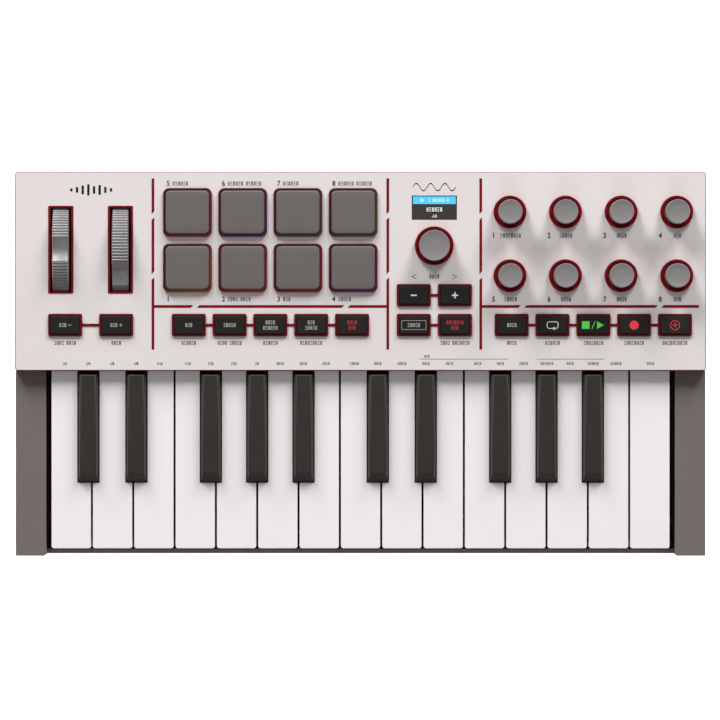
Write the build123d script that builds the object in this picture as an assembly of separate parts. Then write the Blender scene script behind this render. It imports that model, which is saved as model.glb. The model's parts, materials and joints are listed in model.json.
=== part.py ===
"""Compact 25-key midi controller, built as separate named parts.

Frame: millimetres, +Z up, +Y towards the rear, +X to the player's right.
Origin: middle of the footprint, on the surface the feet stand on.
"""
from build123d import *
import math
import os

os.makedirs("parts", exist_ok=True)

# ---- overall -------------------------------------------------------------------------
WIDTH = 318.0
DEPTH = 177.0
HALF_W = WIDTH / 2
HALF_D = DEPTH / 2
WALL = 2.0
CORNER_R = 2.0
RUN_GAP = 0.05  # radial clearance of a running shaft
PAST = 1.0  # how far a cut runs past the face it opens

# ---- heights -------------------------------------------------------------------------
FEET_H = 2.0
FLOOR_TOP = 4.0
SEAM_Z = 21.0
CHEEK_TOP = 25.6
FRONT_WALL_TOP = 16.8
PLATE_UNDER = 28.6
PLATE_TOP = 30.8
PANEL_TOP = 32.0
BOARD_UNDER = 20.4
BOARD_TOP = 22.0

# ---- plan limits ---------------------------------------------------------------------
PANEL_FRONT = -3.2
CHEEK_IN = 145.0
FRONT_RAIL_Y = -87.6
FRONT_RAIL_IN = -85.5
PANEL_INSET = 0.4
PANEL_CORNER_R = 1.4
PLATE_GAP = 0.05  # between the faceplate and each raised part it goes round
CHEEK_CHAMFER = 1.0

# ---- keys ----------------------------------------------------------------------------
KEY_PITCH = 19.05
KEY_GAP = 1.0
WHITE_COUNT = 15
WHITE_FRONT = -85.0
WHITE_TOP = 27.0
WHITE_CORNER_R = 1.1
KEY_UNDER = 18.0
BLACK_W = 9.3
BLACK_TOP_W = 7.1
BLACK_FRONT = -54.35
BLACK_SLOPE_Y = -50.6
BLACK_REAR = -5.0
BLACK_TOP = 31.6
BLACK_SHOULDER_Z = 27.3
BLACK_CLEAR = 0.5
KEY_WALL = 1.5
TAIL_TOP = 25.0
KNUCKLE_FRONT = -0.5
KNUCKLE_REAR = 13.0
KNUCKLE_UNDER = 17.5
KNUCKLE_WALL = 2.5
KNUCKLE_INSET_WHITE = 0.9
KNUCKLE_INSET_BLACK = 0.5
HINGE_Y = 9.0
HINGE_Z = 21.0
ROD_R = 1.5
# how far each black key sits from the joint between its two white neighbours
BLACK_OFFSETS = {"c": -1.57, "d": 1.5, "f": -2.3, "g": 0.0, "a": 2.3}
WHITE_NOTES = ["c", "d", "e", "f", "g", "a", "b"]

# ---- buttons -------------------------------------------------------------------------
BUTTON_RIM_W = 15.6
BUTTON_RIM_D = 10.3
BUTTON_RIM_TOP = 33.0
BUTTON_HOLE_W = 13.8
BUTTON_HOLE_D = 8.5
BUTTON_CLEAR = 0.2
BUTTON_TOP = 33.6
BUTTON_UNDER = 27.2
BUTTON_RIM_R = 0.8
BUTTON_HOLE_R = 0.7
BUTTON_R = 0.6
FLANGE_OVER_W = 1.6
FLANGE_OVER_D = 1.3
FLANGE_TOP = 28.3
SWITCH_TOP = 26.1
SWITCH_SIZE = 6.0
SWITCH_BODY_TOP = 25.4
SWITCH_STEM_R = 1.7
LINK_W = 1.2
LINK_TOP = 32.3
LINK_LAP = 0.4
BUTTON_ROW_Y = 17.8
UPPER_ROW_Y = 31.5
BUTTONS = {
    "octave_down_button": (-135.9, BUTTON_ROW_Y),
    "octave_up_button": (-112.4, BUTTON_ROW_Y),
    "arpeggiator_button": (-79.0, BUTTON_ROW_Y),
    "latch_button": (-60.2, BUTTON_ROW_Y),
    "note_repeat_button": (-41.5, BUTTON_ROW_Y),
    "tempo_button": (-22.7, BUTTON_ROW_Y),
    "bank_button": (-3.9, BUTTON_ROW_Y),
    "minus_button": (24.5, UPPER_ROW_Y),
    "plus_button": (43.4, UPPER_ROW_Y),
    "shift_button": (24.5, BUTTON_ROW_Y),
    "mode_button": (43.4, BUTTON_ROW_Y),
    "undo_button": (69.5, BUTTON_ROW_Y),
    "loop_button": (88.3, BUTTON_ROW_Y),
    "play_button": (107.1, BUTTON_ROW_Y),
    "record_button": (125.8, BUTTON_ROW_Y),
    "overdub_button": (144.6, BUTTON_ROW_Y),
}
# each bar joins the rims of two neighbouring buttons
BUTTON_LINKS = [
    ("octave_down_button", "octave_up_button"),
    ("arpeggiator_button", "latch_button"),
    ("latch_button", "note_repeat_button"),
    ("note_repeat_button", "tempo_button"),
    ("tempo_button", "bank_button"),
    ("minus_button", "plus_button"),
    ("shift_button", "mode_button"),
    ("undo_button", "loop_button"),
    ("loop_button", "play_button"),
    ("play_button", "record_button"),
    ("record_button", "overdub_button"),
]

# ---- pads ----------------------------------------------------------------------------
PAD_XS = [-79.6, -54.2, -28.8, -3.4]
PAD_YS = [44.1, 69.6]
PAD_RIM = 22.4
PAD_RIM_R = 2.8
PAD_RIM_TOP = 33.3
PAD_HOLE = 20.4
PAD_HOLE_R = 2.3
PAD_R = 2.2
PAD_SIZE = 20.0
PAD_TOP = 35.2
PAD_WEB_UNDER = 22.3
PAD_WEB_TOP = 23.8
PAD_LAP = 0.5
SENSOR_W = 98.0
SENSOR_D = 47.0

# ---- knobs and dial ------------------------------------------------------------------
KNOB_XS = [68.7, 94.2, 119.8, 145.4]
KNOB_YS = [69.8, 40.5]
KNOB_SKIRT_R = 7.6
KNOB_CAP_R = 5.6
KNOB_TOP = 44.5
KNOB_SKIRT_TOP = 34.2
TURN_GAP = 0.35  # under a skirt, over the panel
DIAL_XY = (33.9, 54.3)
DIAL_SKIRT_R = 8.95
DIAL_CAP_R = 7.1
DIAL_TOP = 42.5
SHAFT_R = 3.0
SHAFT_UNDER = 24.0
ENCODER_SIZE = 11.0
ENCODER_TOP = 27.4
BUSHING_R = 3.9
BUSHING_TOP = 31.2
BUSHING_HOLE_R = 4.3
BORE_DEEPER = 0.5  # bore left under the end of the shaft

# ---- display -------------------------------------------------------------------------
DISPLAY_XY = (33.95, 71.8)
DISPLAY_W = 20.7
DISPLAY_D = 11.1
DISPLAY_GAP = 0.2
GLASS_SINK = 0.2
MODULE_W = 25.0
MODULE_D = 14.6

# ---- wheels --------------------------------------------------------------------------
WHEEL_XS = {"bend_wheel": -137.9, "mod_wheel": -110.45}
WHEEL_Y = 52.5
WHEEL_Z = 14.5
WHEEL_R = 25.0
WHEEL_W = 7.5
WHEEL_TURN = 27.0  # degrees each way from the middle of its travel
WHEEL_HUB_R = 6.5
WHEEL_FLAT = 5.0  # the segment's flat, above the axle
WHEEL_DIP_R = 9.0
WHEEL_DIP_DEPTH = 1.4
AXLE_R = 2.0
AXLE_REACH = 8.6
POST_IN = 6.0
POST_OUT = 9.0
POST_HALF_D = 5.0
POST_OVER = 5.0  # post height above the axle
WHEEL_SENSOR = (3.6, 9.0, 9.0, 20.0)  # thickness, depth, underside, top
SLOT_RIM_W = 11.55
SLOT_RIM_D = 40.3
SLOT_RIM_TOP = 32.2
SLOT_RIM_R = 0.6
SLOT_UNDERCUT = 5.0
SLOT_W = 9.6
SLOT_D = 39.0
SLOT_LIP_Z = 30.9  # above this the slot narrows to its visible length

# ---- raised divider lines ------------------------------------------------------------
LINE_W = 1.15
LINE_TOP = 32.1
LINE_XS = [-95.5, 12.55, 55.3]
LINE_REAR = 85.3
LINE_FRONT = 6.6
LINE_BREAKS = [68.2, 40.6]
BREAK_LEN = 2.8
CROSS_Y = 26.4
CROSS_RUNS = [(-95.0, 12.2, [-76.1, -6.7]), (55.8, 155.7, [74.5, 137.5])]

# ---- sockets in the rear wall --------------------------------------------------------
# each socket: x, z, body width, front and underside of the body, bore radius, bore depth, nose radius
PEDAL_SOCKET = (-72.0, 12.2, 14.0, 66.0, 5.6, 3.2, 20.0, 5.0)
MIDI_SOCKET = (-44.0, 12.2, 18.0, 72.0, 4.2, 6.7, 9.0, 7.7)
PEDAL_OPENING_R = 5.2
MIDI_OPENING_R = 8.0
SOCKET_FACE_Y = 88.1
SOCKET_GAP = 0.2  # between a socket body and the wall
USB_XZ = (-20.0, 18.5)
USB_OPENING = (10.0, 4.0)
USB_SHELL = (9.2, 3.4)
USB_MOUTH = (8.4, 2.6)
USB_TONGUE = (6.8, 0.7)
USB_FRONT = 79.5
USB_BACK = 84.5
LOCK_XZ = (120.0, 11.0)
LOCK_OPENING = (7.0, 3.0)

# ---- boards --------------------------------------------------------------------------
MAIN_BOARD = (-91.6, 151.6, 15.0, 84.5)  # left, right, front, rear
OCTAVE_BOARD = (-147.0, -101.0, 14.8, 24.0)
# parts under the main board: x, y, width, depth, height
BOARD_PARTS = [(30, 45, 14, 14, 1.4), (52, 50, 8, 8, 1.2), (8, 62, 9, 6, 1.4), (-20, 66, 7, 5, 3.0)]

# ---- feet and fasteners --------------------------------------------------------------
FOOT_R = 7.0
FOOT_RECESS = 0.6
FOOT_GAP = 0.1
FOOT_XY = [(-140.0, -72.0), (140.0, -72.0), (-140.0, 68.0), (140.0, 68.0)]
BOSS_XS = [-152.6, -95.5, 12.5, 152.6]
BOSS_YS = [81.0, 27.5]
BOSS_R = 3.5
BOSS_UNDER = 8.0
BOSS_SEAT_R = 4.4
BOSS_BORE_R = 1.5
BOSS_BORE_TOP = 19.0
BOSS_BOARD_HOLE_R = 4.0
CASE_HOLE_R = 1.7
CASE_SINK_R = 3.2
CASE_SINK_TOP = 4.6
CASE_HEAD_R = 2.8
CASE_HEAD_UNDER = 2.6
CASE_HEAD_TOP = 4.5
CASE_SCREW_R = 1.4
CASE_SCREW_TIP = 17.5
BOARD_SCREWS = [(12.5, 55.0), (81.5, 55.0), (132.6, 55.0), (56.0, 25.0)]
STANDOFF_R = 2.6
STANDOFF_BORE_R = 1.15
STANDOFF_BORE_TOP = 27.0
BOARD_HOLE_R = 1.3
BOARD_HEAD_R = 2.2
BOARD_HEAD_H = 1.4
BOARD_SCREW_R = 1.05
BOARD_SCREW_TIP = 26.5
ROOT = 0.5  # how far a boss or a standoff runs into the plate above it

# ---- key chassis ---------------------------------------------------------------------
CHASSIS_HALF = 143.4
CHASSIS_BASE_HALF = 144.6
CHASSIS_BASE_TOP = 5.6
CHASSIS_FRONT = -82.0
CHASSIS_REAR = 17.0
BEAM_HALF = 142.0
STOP_BEAM = (-81.5, -77.5, 11.0)  # front, rear, top
SPRING_WALL_FRONT = 14.6
SPRING_UNDER = 15.9
SPRING_TOP = 16.3
SPRING_HALF = 141.5
SPRING_FINGER = (0.3, 5.0, 28.8)  # middle, width, length
CONTACT_WALLS = [(-36.0, -34.4), (-21.6, -20.0)]
CONTACT_SHELF = (-34.4, -21.6, 9.2)  # front, rear, underside
CONTACT_BOARD = (-35.5, -20.5, 10.8, 12.0)  # front, rear, underside, top
DOME_STRIP = (-32.0, -24.0, 12.0, 12.6)
DOME_Y = -28.0
DOME_R = 2.8
DOME_UNDER = 12.4
DOME_TOP = 15.2
FELT = (-81.0, -78.0, 11.0, 12.3)
RIB_HALF_W = 0.9
RIB_FRONT = 3.0
RIB_TOP = 23.6
RIB_JOINTS = (3, 7, 10, 14)
END_RIB_X = 143.5
POST_GAP = 0.4
POST_D = 3.0
WHITE_POST = (-72.5, 19.0)  # y, top
BLACK_POST = (-46.5, 19.5)
ROD_HALF = 144.4
ROD_GRIP = 0.01  # radial gap of the rod in the ribs


def box(x0, x1, y0, y1, z0, z1):
    """Block between two opposite corners."""
    middle = ((x0 + x1) / 2, (y0 + y1) / 2, (z0 + z1) / 2)
    return Pos(*middle) * Box(x1 - x0, y1 - y0, z1 - z0)


def block(cx, cy, w, d, z0, z1):
    """Block centred on (cx, cy) in plan."""
    return box(cx - w / 2, cx + w / 2, cy - d / 2, cy + d / 2, z0, z1)


def soft_block(cx, cy, w, d, r, z0, z1):
    """Block with rounded upright edges."""
    return extrude(Pos(cx, cy, z0) * RectangleRounded(w, d, r), z1 - z0)


def rod_z(cx, cy, r, z0, z1):
    """Upright cylinder."""
    return Pos(cx, cy, (z0 + z1) / 2) * Cylinder(r, z1 - z0)


def rod_x(x0, x1, y, z, r):
    """Cylinder along X."""
    return Pos((x0 + x1) / 2, y, z) * Rot(0, 90, 0) * Cylinder(r, x1 - x0)


def rod_y(x, z, y0, y1, r):
    """Cylinder along Y."""
    return Pos(x, (y0 + y1) / 2, z) * Rot(90, 0, 0) * Cylinder(r, y1 - y0)


def slot_y(x, z, w, h, y0, y1):
    """Block that runs along Y, given by the middle of its cross-section."""
    return box(x - w / 2, x + w / 2, y0, y1, z - h / 2, z + h / 2)


def save(name, *solids):
    """Write one node; a node of several solids is saved as a group."""
    shape = solids[0]
    if len(solids) > 1:
        shape = Compound(children=[Solid(part.solid().wrapped) for part in solids])
    export_step(shape, f"parts/{name}.step")


# ---- key layout ----------------------------------------------------------------------
def key_joint(index):
    """X of the joint on the left of white key number index."""
    return (index - WHITE_COUNT / 2) * KEY_PITCH


def key_layout():
    """White keys as (name, left, right, tail_left, tail_right) and black keys as (name, x)."""
    whites = []
    blacks = []
    black_at = {}
    for index in range(WHITE_COUNT - 1):
        note = WHITE_NOTES[index % 7]
        if note in BLACK_OFFSETS:
            x = key_joint(index + 1) + BLACK_OFFSETS[note]
            black_at[index + 1] = x
            blacks.append((f"black_key_{note}_sharp_{index // 7 + 1}", x))
    for index in range(WHITE_COUNT):
        note = WHITE_NOTES[index % 7]
        left = key_joint(index) + KEY_GAP / 2
        right = key_joint(index + 1) - KEY_GAP / 2
        tail_left = left
        tail_right = right
        if index in black_at:
            tail_left = black_at[index] + BLACK_W / 2 + BLACK_CLEAR
        if index + 1 in black_at:
            tail_right = black_at[index + 1] - BLACK_W / 2 - BLACK_CLEAR
        whites.append((f"white_key_{note}_{index // 7 + 1}", left, right, tail_left, tail_right))
    return whites, blacks


def knuckle(left, right):
    """Rear end of a key, where the hinge rod runs through it."""
    body = box(left, right, KNUCKLE_FRONT, KNUCKLE_REAR, KNUCKLE_UNDER, TAIL_TOP)
    return body - rod_x(left - PAST, right + PAST, HINGE_Y, HINGE_Z, ROD_R + RUN_GAP)


def white_key(left, right, tail_left, tail_right):
    """White key: hollow front, narrow hollow tail between the black keys, and knuckle."""
    cut_y = BLACK_FRONT - BLACK_CLEAR
    front = box(left, right, WHITE_FRONT, cut_y, KEY_UNDER, WHITE_TOP)
    front_corners = front.edges().filter_by(Axis.Z).group_by(Axis.Y)[0]
    front = fillet(front_corners, WHITE_CORNER_R)
    tail = box(tail_left, tail_right, cut_y, KNUCKLE_FRONT, KEY_UNDER, WHITE_TOP)
    key = front + tail
    key -= box(left + KEY_WALL, right - KEY_WALL, WHITE_FRONT + KEY_WALL, cut_y - KEY_WALL,
               KEY_UNDER - PAST, WHITE_TOP - KEY_WALL)
    key -= box(tail_left + KEY_WALL, tail_right - KEY_WALL, cut_y + KEY_WALL, KNUCKLE_FRONT - KNUCKLE_WALL,
               KEY_UNDER - PAST, WHITE_TOP - KEY_WALL)
    key += knuckle(tail_left + KNUCKLE_INSET_WHITE, tail_right - KNUCKLE_INSET_WHITE)
    return key


def black_key(x):
    """Black key: hollow, with tapered sides and a sloping front."""
    half = BLACK_W / 2
    key = box(x - half, x + half, BLACK_FRONT, BLACK_REAR, KEY_UNDER, BLACK_SHOULDER_Z)
    base_len = BLACK_REAR - BLACK_FRONT
    top_len = BLACK_REAR - BLACK_SLOPE_Y
    base = Pos(x, (BLACK_REAR + BLACK_FRONT) / 2, BLACK_SHOULDER_Z) * Rectangle(BLACK_W, base_len)
    top = Pos(x, (BLACK_REAR + BLACK_SLOPE_Y) / 2, BLACK_TOP) * Rectangle(BLACK_TOP_W, top_len)
    key += loft([base, top])
    key += box(x - half, x + half, BLACK_REAR, KNUCKLE_FRONT, KEY_UNDER, TAIL_TOP)
    key -= box(x - half + KEY_WALL, x + half - KEY_WALL, BLACK_FRONT + KEY_WALL, BLACK_REAR,
               KEY_UNDER - PAST, BLACK_SHOULDER_Z - KEY_WALL)
    key += knuckle(x - half + KNUCKLE_INSET_BLACK, x + half - KNUCKLE_INSET_BLACK)
    return key


# ---- controls ------------------------------------------------------------------------
def button(cx, cy):
    """Push button: cap with a retaining flange that stays under the case plate."""
    cap = soft_block(cx, cy, BUTTON_HOLE_W - 2 * BUTTON_CLEAR, BUTTON_HOLE_D - 2 * BUTTON_CLEAR,
                     BUTTON_R, BUTTON_UNDER, BUTTON_TOP)
    flange = block(cx, cy, BUTTON_HOLE_W + FLANGE_OVER_W, BUTTON_HOLE_D + FLANGE_OVER_D,
                   BUTTON_UNDER, FLANGE_TOP)
    return cap + flange


def knob(cx, cy, skirt_r, cap_r, top):
    """Turning knob: skirt, grip and the shaft that runs in the encoder's bushing."""
    skirt_under = PANEL_TOP + TURN_GAP
    skirt = rod_z(cx, cy, skirt_r, skirt_under, KNOB_SKIRT_TOP)
    grip = rod_z(cx, cy, cap_r, KNOB_SKIRT_TOP, top)
    shaft = rod_z(cx, cy, SHAFT_R, SHAFT_UNDER, skirt_under)
    return skirt + grip + shaft


def encoder(cx, cy):
    """Soldered encoder body with the bushing that a knob's shaft runs in."""
    body = block(cx, cy, ENCODER_SIZE, ENCODER_SIZE, BOARD_TOP, ENCODER_TOP)
    bushing = rod_z(cx, cy, BUSHING_R, ENCODER_TOP, BUSHING_TOP)
    bore = rod_z(cx, cy, SHAFT_R + RUN_GAP, SHAFT_UNDER - BORE_DEEPER, BUSHING_TOP + PAST)
    return body + bushing - bore


def wheel(x, turn):
    """Thumb wheel: a rim segment on a hub with two stub axles, turned towards the front by turn."""
    half = WHEEL_W / 2
    rim = rod_x(x - half, x + half, WHEEL_Y, WHEEL_Z, WHEEL_R)
    reach = WHEEL_R + PAST
    rim &= box(x - reach, x + reach, WHEEL_Y - reach, WHEEL_Y + reach,
               WHEEL_Z + WHEEL_FLAT, WHEEL_Z + reach)
    dip_z = WHEEL_Z + WHEEL_R - WHEEL_DIP_DEPTH + WHEEL_DIP_R
    rim -= rod_x(x - half - PAST, x + half + PAST, WHEEL_Y, dip_z, WHEEL_DIP_R)
    body = rim + rod_x(x - half, x + half, WHEEL_Y, WHEEL_Z, WHEEL_HUB_R)
    body += rod_x(x - AXLE_REACH, x + AXLE_REACH, WHEEL_Y, WHEEL_Z, AXLE_R)
    pivot = Pos(0, WHEEL_Y, WHEEL_Z)
    return pivot * Rot(turn, 0, 0) * Pos(0, -WHEEL_Y, -WHEEL_Z) * body


def pad_sheet():
    """The pads: one silicone moulding, a web with raised blocks."""
    span_x = PAD_XS[-1] - PAD_XS[0] + PAD_RIM
    span_y = PAD_YS[-1] - PAD_YS[0] + PAD_RIM
    middle_x = (PAD_XS[0] + PAD_XS[-1]) / 2
    middle_y = (PAD_YS[0] + PAD_YS[-1]) / 2
    sheet = block(middle_x, middle_y, span_x, span_y, PAD_WEB_UNDER, PAD_WEB_TOP)
    for cx in PAD_XS:
        for cy in PAD_YS:
            sheet += soft_block(cx, cy, PAD_SIZE, PAD_SIZE, PAD_R, PAD_WEB_TOP - PAD_LAP, PAD_TOP)
    return sheet


# ---- panel lines ---------------------------------------------------------------------
def line_pieces(width, z0, z1):
    """Divider lines as separate bars; the breaks in them are cut on the slant."""
    pieces = []
    slant = width / 2
    for x in LINE_XS:
        stops = [LINE_REAR]
        for middle in LINE_BREAKS:
            stops += [middle + BREAK_LEN / 2, middle - BREAK_LEN / 2]
        stops.append(LINE_FRONT)
        for number in range(0, len(stops), 2):
            rear = stops[number]
            front = stops[number + 1]
            rear_skew = slant if number > 0 else 0.0
            front_skew = slant if number + 2 < len(stops) else 0.0
            corners = [
                (x - width / 2, front - front_skew),
                (x + width / 2, front + front_skew),
                (x + width / 2, rear + rear_skew),
                (x - width / 2, rear - rear_skew),
            ]
            pieces.append(prism(corners, z0, z1))
    for start, end, breaks in CROSS_RUNS:
        stops = [start]
        for middle in breaks:
            stops += [middle - BREAK_LEN / 2, middle + BREAK_LEN / 2]
        stops.append(end)
        for number in range(0, len(stops), 2):
            left = stops[number]
            right = stops[number + 1]
            left_skew = slant if number > 0 else 0.0
            right_skew = slant if number + 2 < len(stops) else 0.0
            corners = [
                (left - left_skew, CROSS_Y - width / 2),
                (right - right_skew, CROSS_Y - width / 2),
                (right + right_skew, CROSS_Y + width / 2),
                (left + left_skew, CROSS_Y + width / 2),
            ]
            pieces.append(prism(corners, z0, z1))
    return pieces


def prism(corners, z0, z1):
    """Upright prism on a polygon given in plan."""
    return extrude(Pos(0, 0, z0) * Polygon(*corners, align=None), z1 - z0)


def link_bar(first, second, extra, z0, z1):
    """Bar between the rims of two neighbouring buttons."""
    x0 = BUTTONS[first][0] + BUTTON_RIM_W / 2 - LINK_LAP
    x1 = BUTTONS[second][0] - BUTTON_RIM_W / 2 + LINK_LAP
    y = BUTTONS[first][1]
    return box(x0, x1, y - LINK_W / 2 - extra, y + LINK_W / 2 + extra, z0, z1)


# ---- case ----------------------------------------------------------------------------
def faceplate():
    """Thin overlay on the case plate, cut out round every control and every raised line."""
    gap = PLATE_GAP
    plate = soft_block(0, (HALF_D + PANEL_FRONT) / 2, WIDTH - 2 * PANEL_INSET,
                       HALF_D - PANEL_FRONT - 2 * PANEL_INSET, PANEL_CORNER_R - PANEL_INSET,
                       PLATE_TOP, PANEL_TOP)
    low = PLATE_TOP - PAST
    high = PANEL_TOP + PAST
    holes = []
    for cx, cy in BUTTONS.values():
        holes.append(soft_block(cx, cy, BUTTON_RIM_W + 2 * gap, BUTTON_RIM_D + 2 * gap,
                                BUTTON_RIM_R + gap, low, high))
    for first, second in BUTTON_LINKS:
        holes.append(link_bar(first, second, gap, low, high))
    for cx in PAD_XS:
        for cy in PAD_YS:
            size = PAD_RIM + 2 * gap
            holes.append(soft_block(cx, cy, size, size, PAD_RIM_R + gap, low, high))
    for x in WHEEL_XS.values():
        holes.append(soft_block(x, WHEEL_Y, SLOT_RIM_W + 2 * gap, SLOT_RIM_D + 2 * gap,
                                SLOT_RIM_R + gap, low, high))
    for cx in KNOB_XS:
        for cy in KNOB_YS:
            holes.append(rod_z(cx, cy, BUSHING_HOLE_R, low, high))
    holes.append(rod_z(*DIAL_XY, BUSHING_HOLE_R, low, high))
    holes.append(block(*DISPLAY_XY, DISPLAY_W + 2 * gap, DISPLAY_D + 2 * gap, low, high))
    holes += line_pieces(LINE_W + 2 * gap, low, high)
    return plate - holes


def top_case():
    """Upper shell: plate, walls, raised rims and lines, screw bosses and board standoffs."""
    depth = HALF_D - PANEL_FRONT
    middle_y = (HALF_D + PANEL_FRONT) / 2
    shell = soft_block(0, middle_y, WIDTH, depth, PANEL_CORNER_R, SEAM_Z, PLATE_TOP)
    shell -= box(-HALF_W + WALL, HALF_W - WALL, PANEL_FRONT + WALL, HALF_D - WALL,
                 SEAM_Z - PAST, PLATE_UNDER)
    # open front above the keys, closed beside them
    shell -= box(-CHEEK_IN, CHEEK_IN, PANEL_FRONT - PAST, PANEL_FRONT + WALL + PAST,
                 SEAM_Z - PAST, PLATE_UNDER)
    raised = []
    for cx, cy in BUTTONS.values():
        raised.append(soft_block(cx, cy, BUTTON_RIM_W, BUTTON_RIM_D, BUTTON_RIM_R,
                                 PLATE_UNDER, BUTTON_RIM_TOP))
    for first, second in BUTTON_LINKS:
        raised.append(link_bar(first, second, 0.0, PLATE_UNDER, LINK_TOP))
    for cx in PAD_XS:
        for cy in PAD_YS:
            raised.append(soft_block(cx, cy, PAD_RIM, PAD_RIM, PAD_RIM_R, PLATE_UNDER, PAD_RIM_TOP))
    for x in WHEEL_XS.values():
        raised.append(soft_block(x, WHEEL_Y, SLOT_RIM_W, SLOT_RIM_D, SLOT_RIM_R, PLATE_UNDER, SLOT_RIM_TOP))
    raised += line_pieces(LINE_W, PLATE_UNDER, LINE_TOP)
    for x in BOSS_XS:
        for y in BOSS_YS:
            raised.append(rod_z(x, y, BOSS_R, BOSS_UNDER, PLATE_UNDER + ROOT))
    for x, y in BOARD_SCREWS:
        raised.append(rod_z(x, y, STANDOFF_R, BOARD_TOP, PLATE_UNDER + ROOT))
    shell = shell + raised
    low = PLATE_UNDER - PAST
    high = PAD_RIM_TOP + PAST
    holes = []
    for cx, cy in BUTTONS.values():
        holes.append(soft_block(cx, cy, BUTTON_HOLE_W, BUTTON_HOLE_D, BUTTON_HOLE_R, low, high))
    for cx in PAD_XS:
        for cy in PAD_YS:
            holes.append(soft_block(cx, cy, PAD_HOLE, PAD_HOLE, PAD_HOLE_R, low, high))
    for x in WHEEL_XS.values():
        holes.append(block(x, WHEEL_Y, SLOT_W, SLOT_D, low, high))
        holes.append(block(x, WHEEL_Y, SLOT_W, SLOT_D + SLOT_UNDERCUT, low, SLOT_LIP_Z))
    for cx in KNOB_XS:
        for cy in KNOB_YS:
            holes.append(rod_z(cx, cy, BUSHING_HOLE_R, low, high))
    holes.append(rod_z(*DIAL_XY, BUSHING_HOLE_R, low, high))
    holes.append(block(*DISPLAY_XY, DISPLAY_W + 2 * DISPLAY_GAP, DISPLAY_D + 2 * DISPLAY_GAP, low, high))
    for x in BOSS_XS:
        for y in BOSS_YS:
            holes.append(rod_z(x, y, BOSS_BORE_R, BOSS_UNDER - PAST, BOSS_BORE_TOP))
    for x, y in BOARD_SCREWS:
        holes.append(rod_z(x, y, STANDOFF_BORE_R, BOARD_TOP - PAST, STANDOFF_BORE_TOP))
    return shell - holes


def bottom_case():
    """Lower shell: floor, walls, end cheeks, front rail, screw posts and wheel bearings."""
    side = HALF_W - WALL
    shell = box(-HALF_W, HALF_W, FRONT_RAIL_Y, HALF_D, FEET_H, SEAM_Z)
    shell = fillet(shell.edges().filter_by(Axis.Z).group_by(Axis.Y)[-1], CORNER_R)
    shell -= box(-side, side, FRONT_RAIL_IN, HALF_D - WALL, FLOOR_TOP, SEAM_Z + PAST)
    shell -= box(-CHEEK_IN, CHEEK_IN, FRONT_RAIL_Y - PAST, FRONT_RAIL_IN + PAST,
                 FRONT_WALL_TOP, SEAM_Z + PAST)
    for sign in (-1, 1):
        x0, x1 = sorted((sign * CHEEK_IN, sign * HALF_W))
        cheek = box(x0, x1, -HALF_D, PANEL_FRONT, FEET_H, CHEEK_TOP)
        inner_corner = cheek.edges().filter_by(Axis.Z).group_by(Axis.Y)[0]
        inner_corner = inner_corner.sort_by(Axis.X)[-1 if sign < 0 else 0]
        cheek = chamfer(inner_corner, CHEEK_CHAMFER)
        cheek -= box(x0 + WALL, x1 - WALL, -HALF_D + WALL, PANEL_FRONT + PAST,
                     FLOOR_TOP, CHEEK_TOP - WALL)
        shell += cheek
    # the cheek is open to the space under the panel
    for sign in (-1, 1):
        x0, x1 = sorted((sign * (CHEEK_IN + WALL), sign * side))
        shell -= box(x0, x1, PANEL_FRONT - WALL - PAST, PANEL_FRONT + WALL + PAST, FLOOR_TOP, SEAM_Z)
    for x in BOSS_XS:
        for y in BOSS_YS:
            shell += rod_z(x, y, BOSS_SEAT_R, FLOOR_TOP - ROOT, BOSS_UNDER)
    for x in WHEEL_XS.values():
        for sign in (-1, 1):
            x0, x1 = sorted((x + sign * POST_IN, x + sign * POST_OUT))
            shell += box(x0, x1, WHEEL_Y - POST_HALF_D, WHEEL_Y + POST_HALF_D,
                         FLOOR_TOP - ROOT, WHEEL_Z + POST_OVER)
    holes = []
    for x in BOSS_XS:
        for y in BOSS_YS:
            holes.append(rod_z(x, y, CASE_HOLE_R, FEET_H - PAST, BOSS_UNDER + PAST))
            holes.append(rod_z(x, y, CASE_SINK_R, FEET_H - PAST, CASE_SINK_TOP))
    for x in WHEEL_XS.values():
        holes.append(rod_x(x - POST_OUT - PAST, x + POST_OUT + PAST, WHEEL_Y, WHEEL_Z, AXLE_R + RUN_GAP))
    for x, y in FOOT_XY:
        holes.append(rod_z(x, y, FOOT_R + FOOT_GAP, FEET_H - PAST, FEET_H + FOOT_RECESS))
    for socket, radius in ((PEDAL_SOCKET, PEDAL_OPENING_R), (MIDI_SOCKET, MIDI_OPENING_R)):
        holes.append(rod_y(socket[0], socket[1], HALF_D - WALL - PAST, HALF_D + PAST, radius))
    holes.append(slot_y(*USB_XZ, *USB_OPENING, HALF_D - WALL - PAST, HALF_D + PAST))
    holes.append(slot_y(*LOCK_XZ, *LOCK_OPENING, HALF_D - WALL - PAST, HALF_D + PAST))
    return shell - holes


def rubber_feet():
    """Four glued feet."""
    return [rod_z(x, y, FOOT_R, 0, FEET_H + FOOT_RECESS) for x, y in FOOT_XY]


def case_screws():
    """Case screws from below and board screws into the standoffs; threads left plain."""
    screws = []
    for x in BOSS_XS:
        for y in BOSS_YS:
            head = rod_z(x, y, CASE_HEAD_R, CASE_HEAD_UNDER, CASE_HEAD_TOP)
            screws.append(head + rod_z(x, y, CASE_SCREW_R, CASE_HEAD_TOP, CASE_SCREW_TIP))
    for x, y in BOARD_SCREWS:
        head = rod_z(x, y, BOARD_HEAD_R, BOARD_UNDER - BOARD_HEAD_H, BOARD_UNDER)
        screws.append(head + rod_z(x, y, BOARD_SCREW_R, BOARD_UNDER, BOARD_SCREW_TIP))
    return screws


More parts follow.
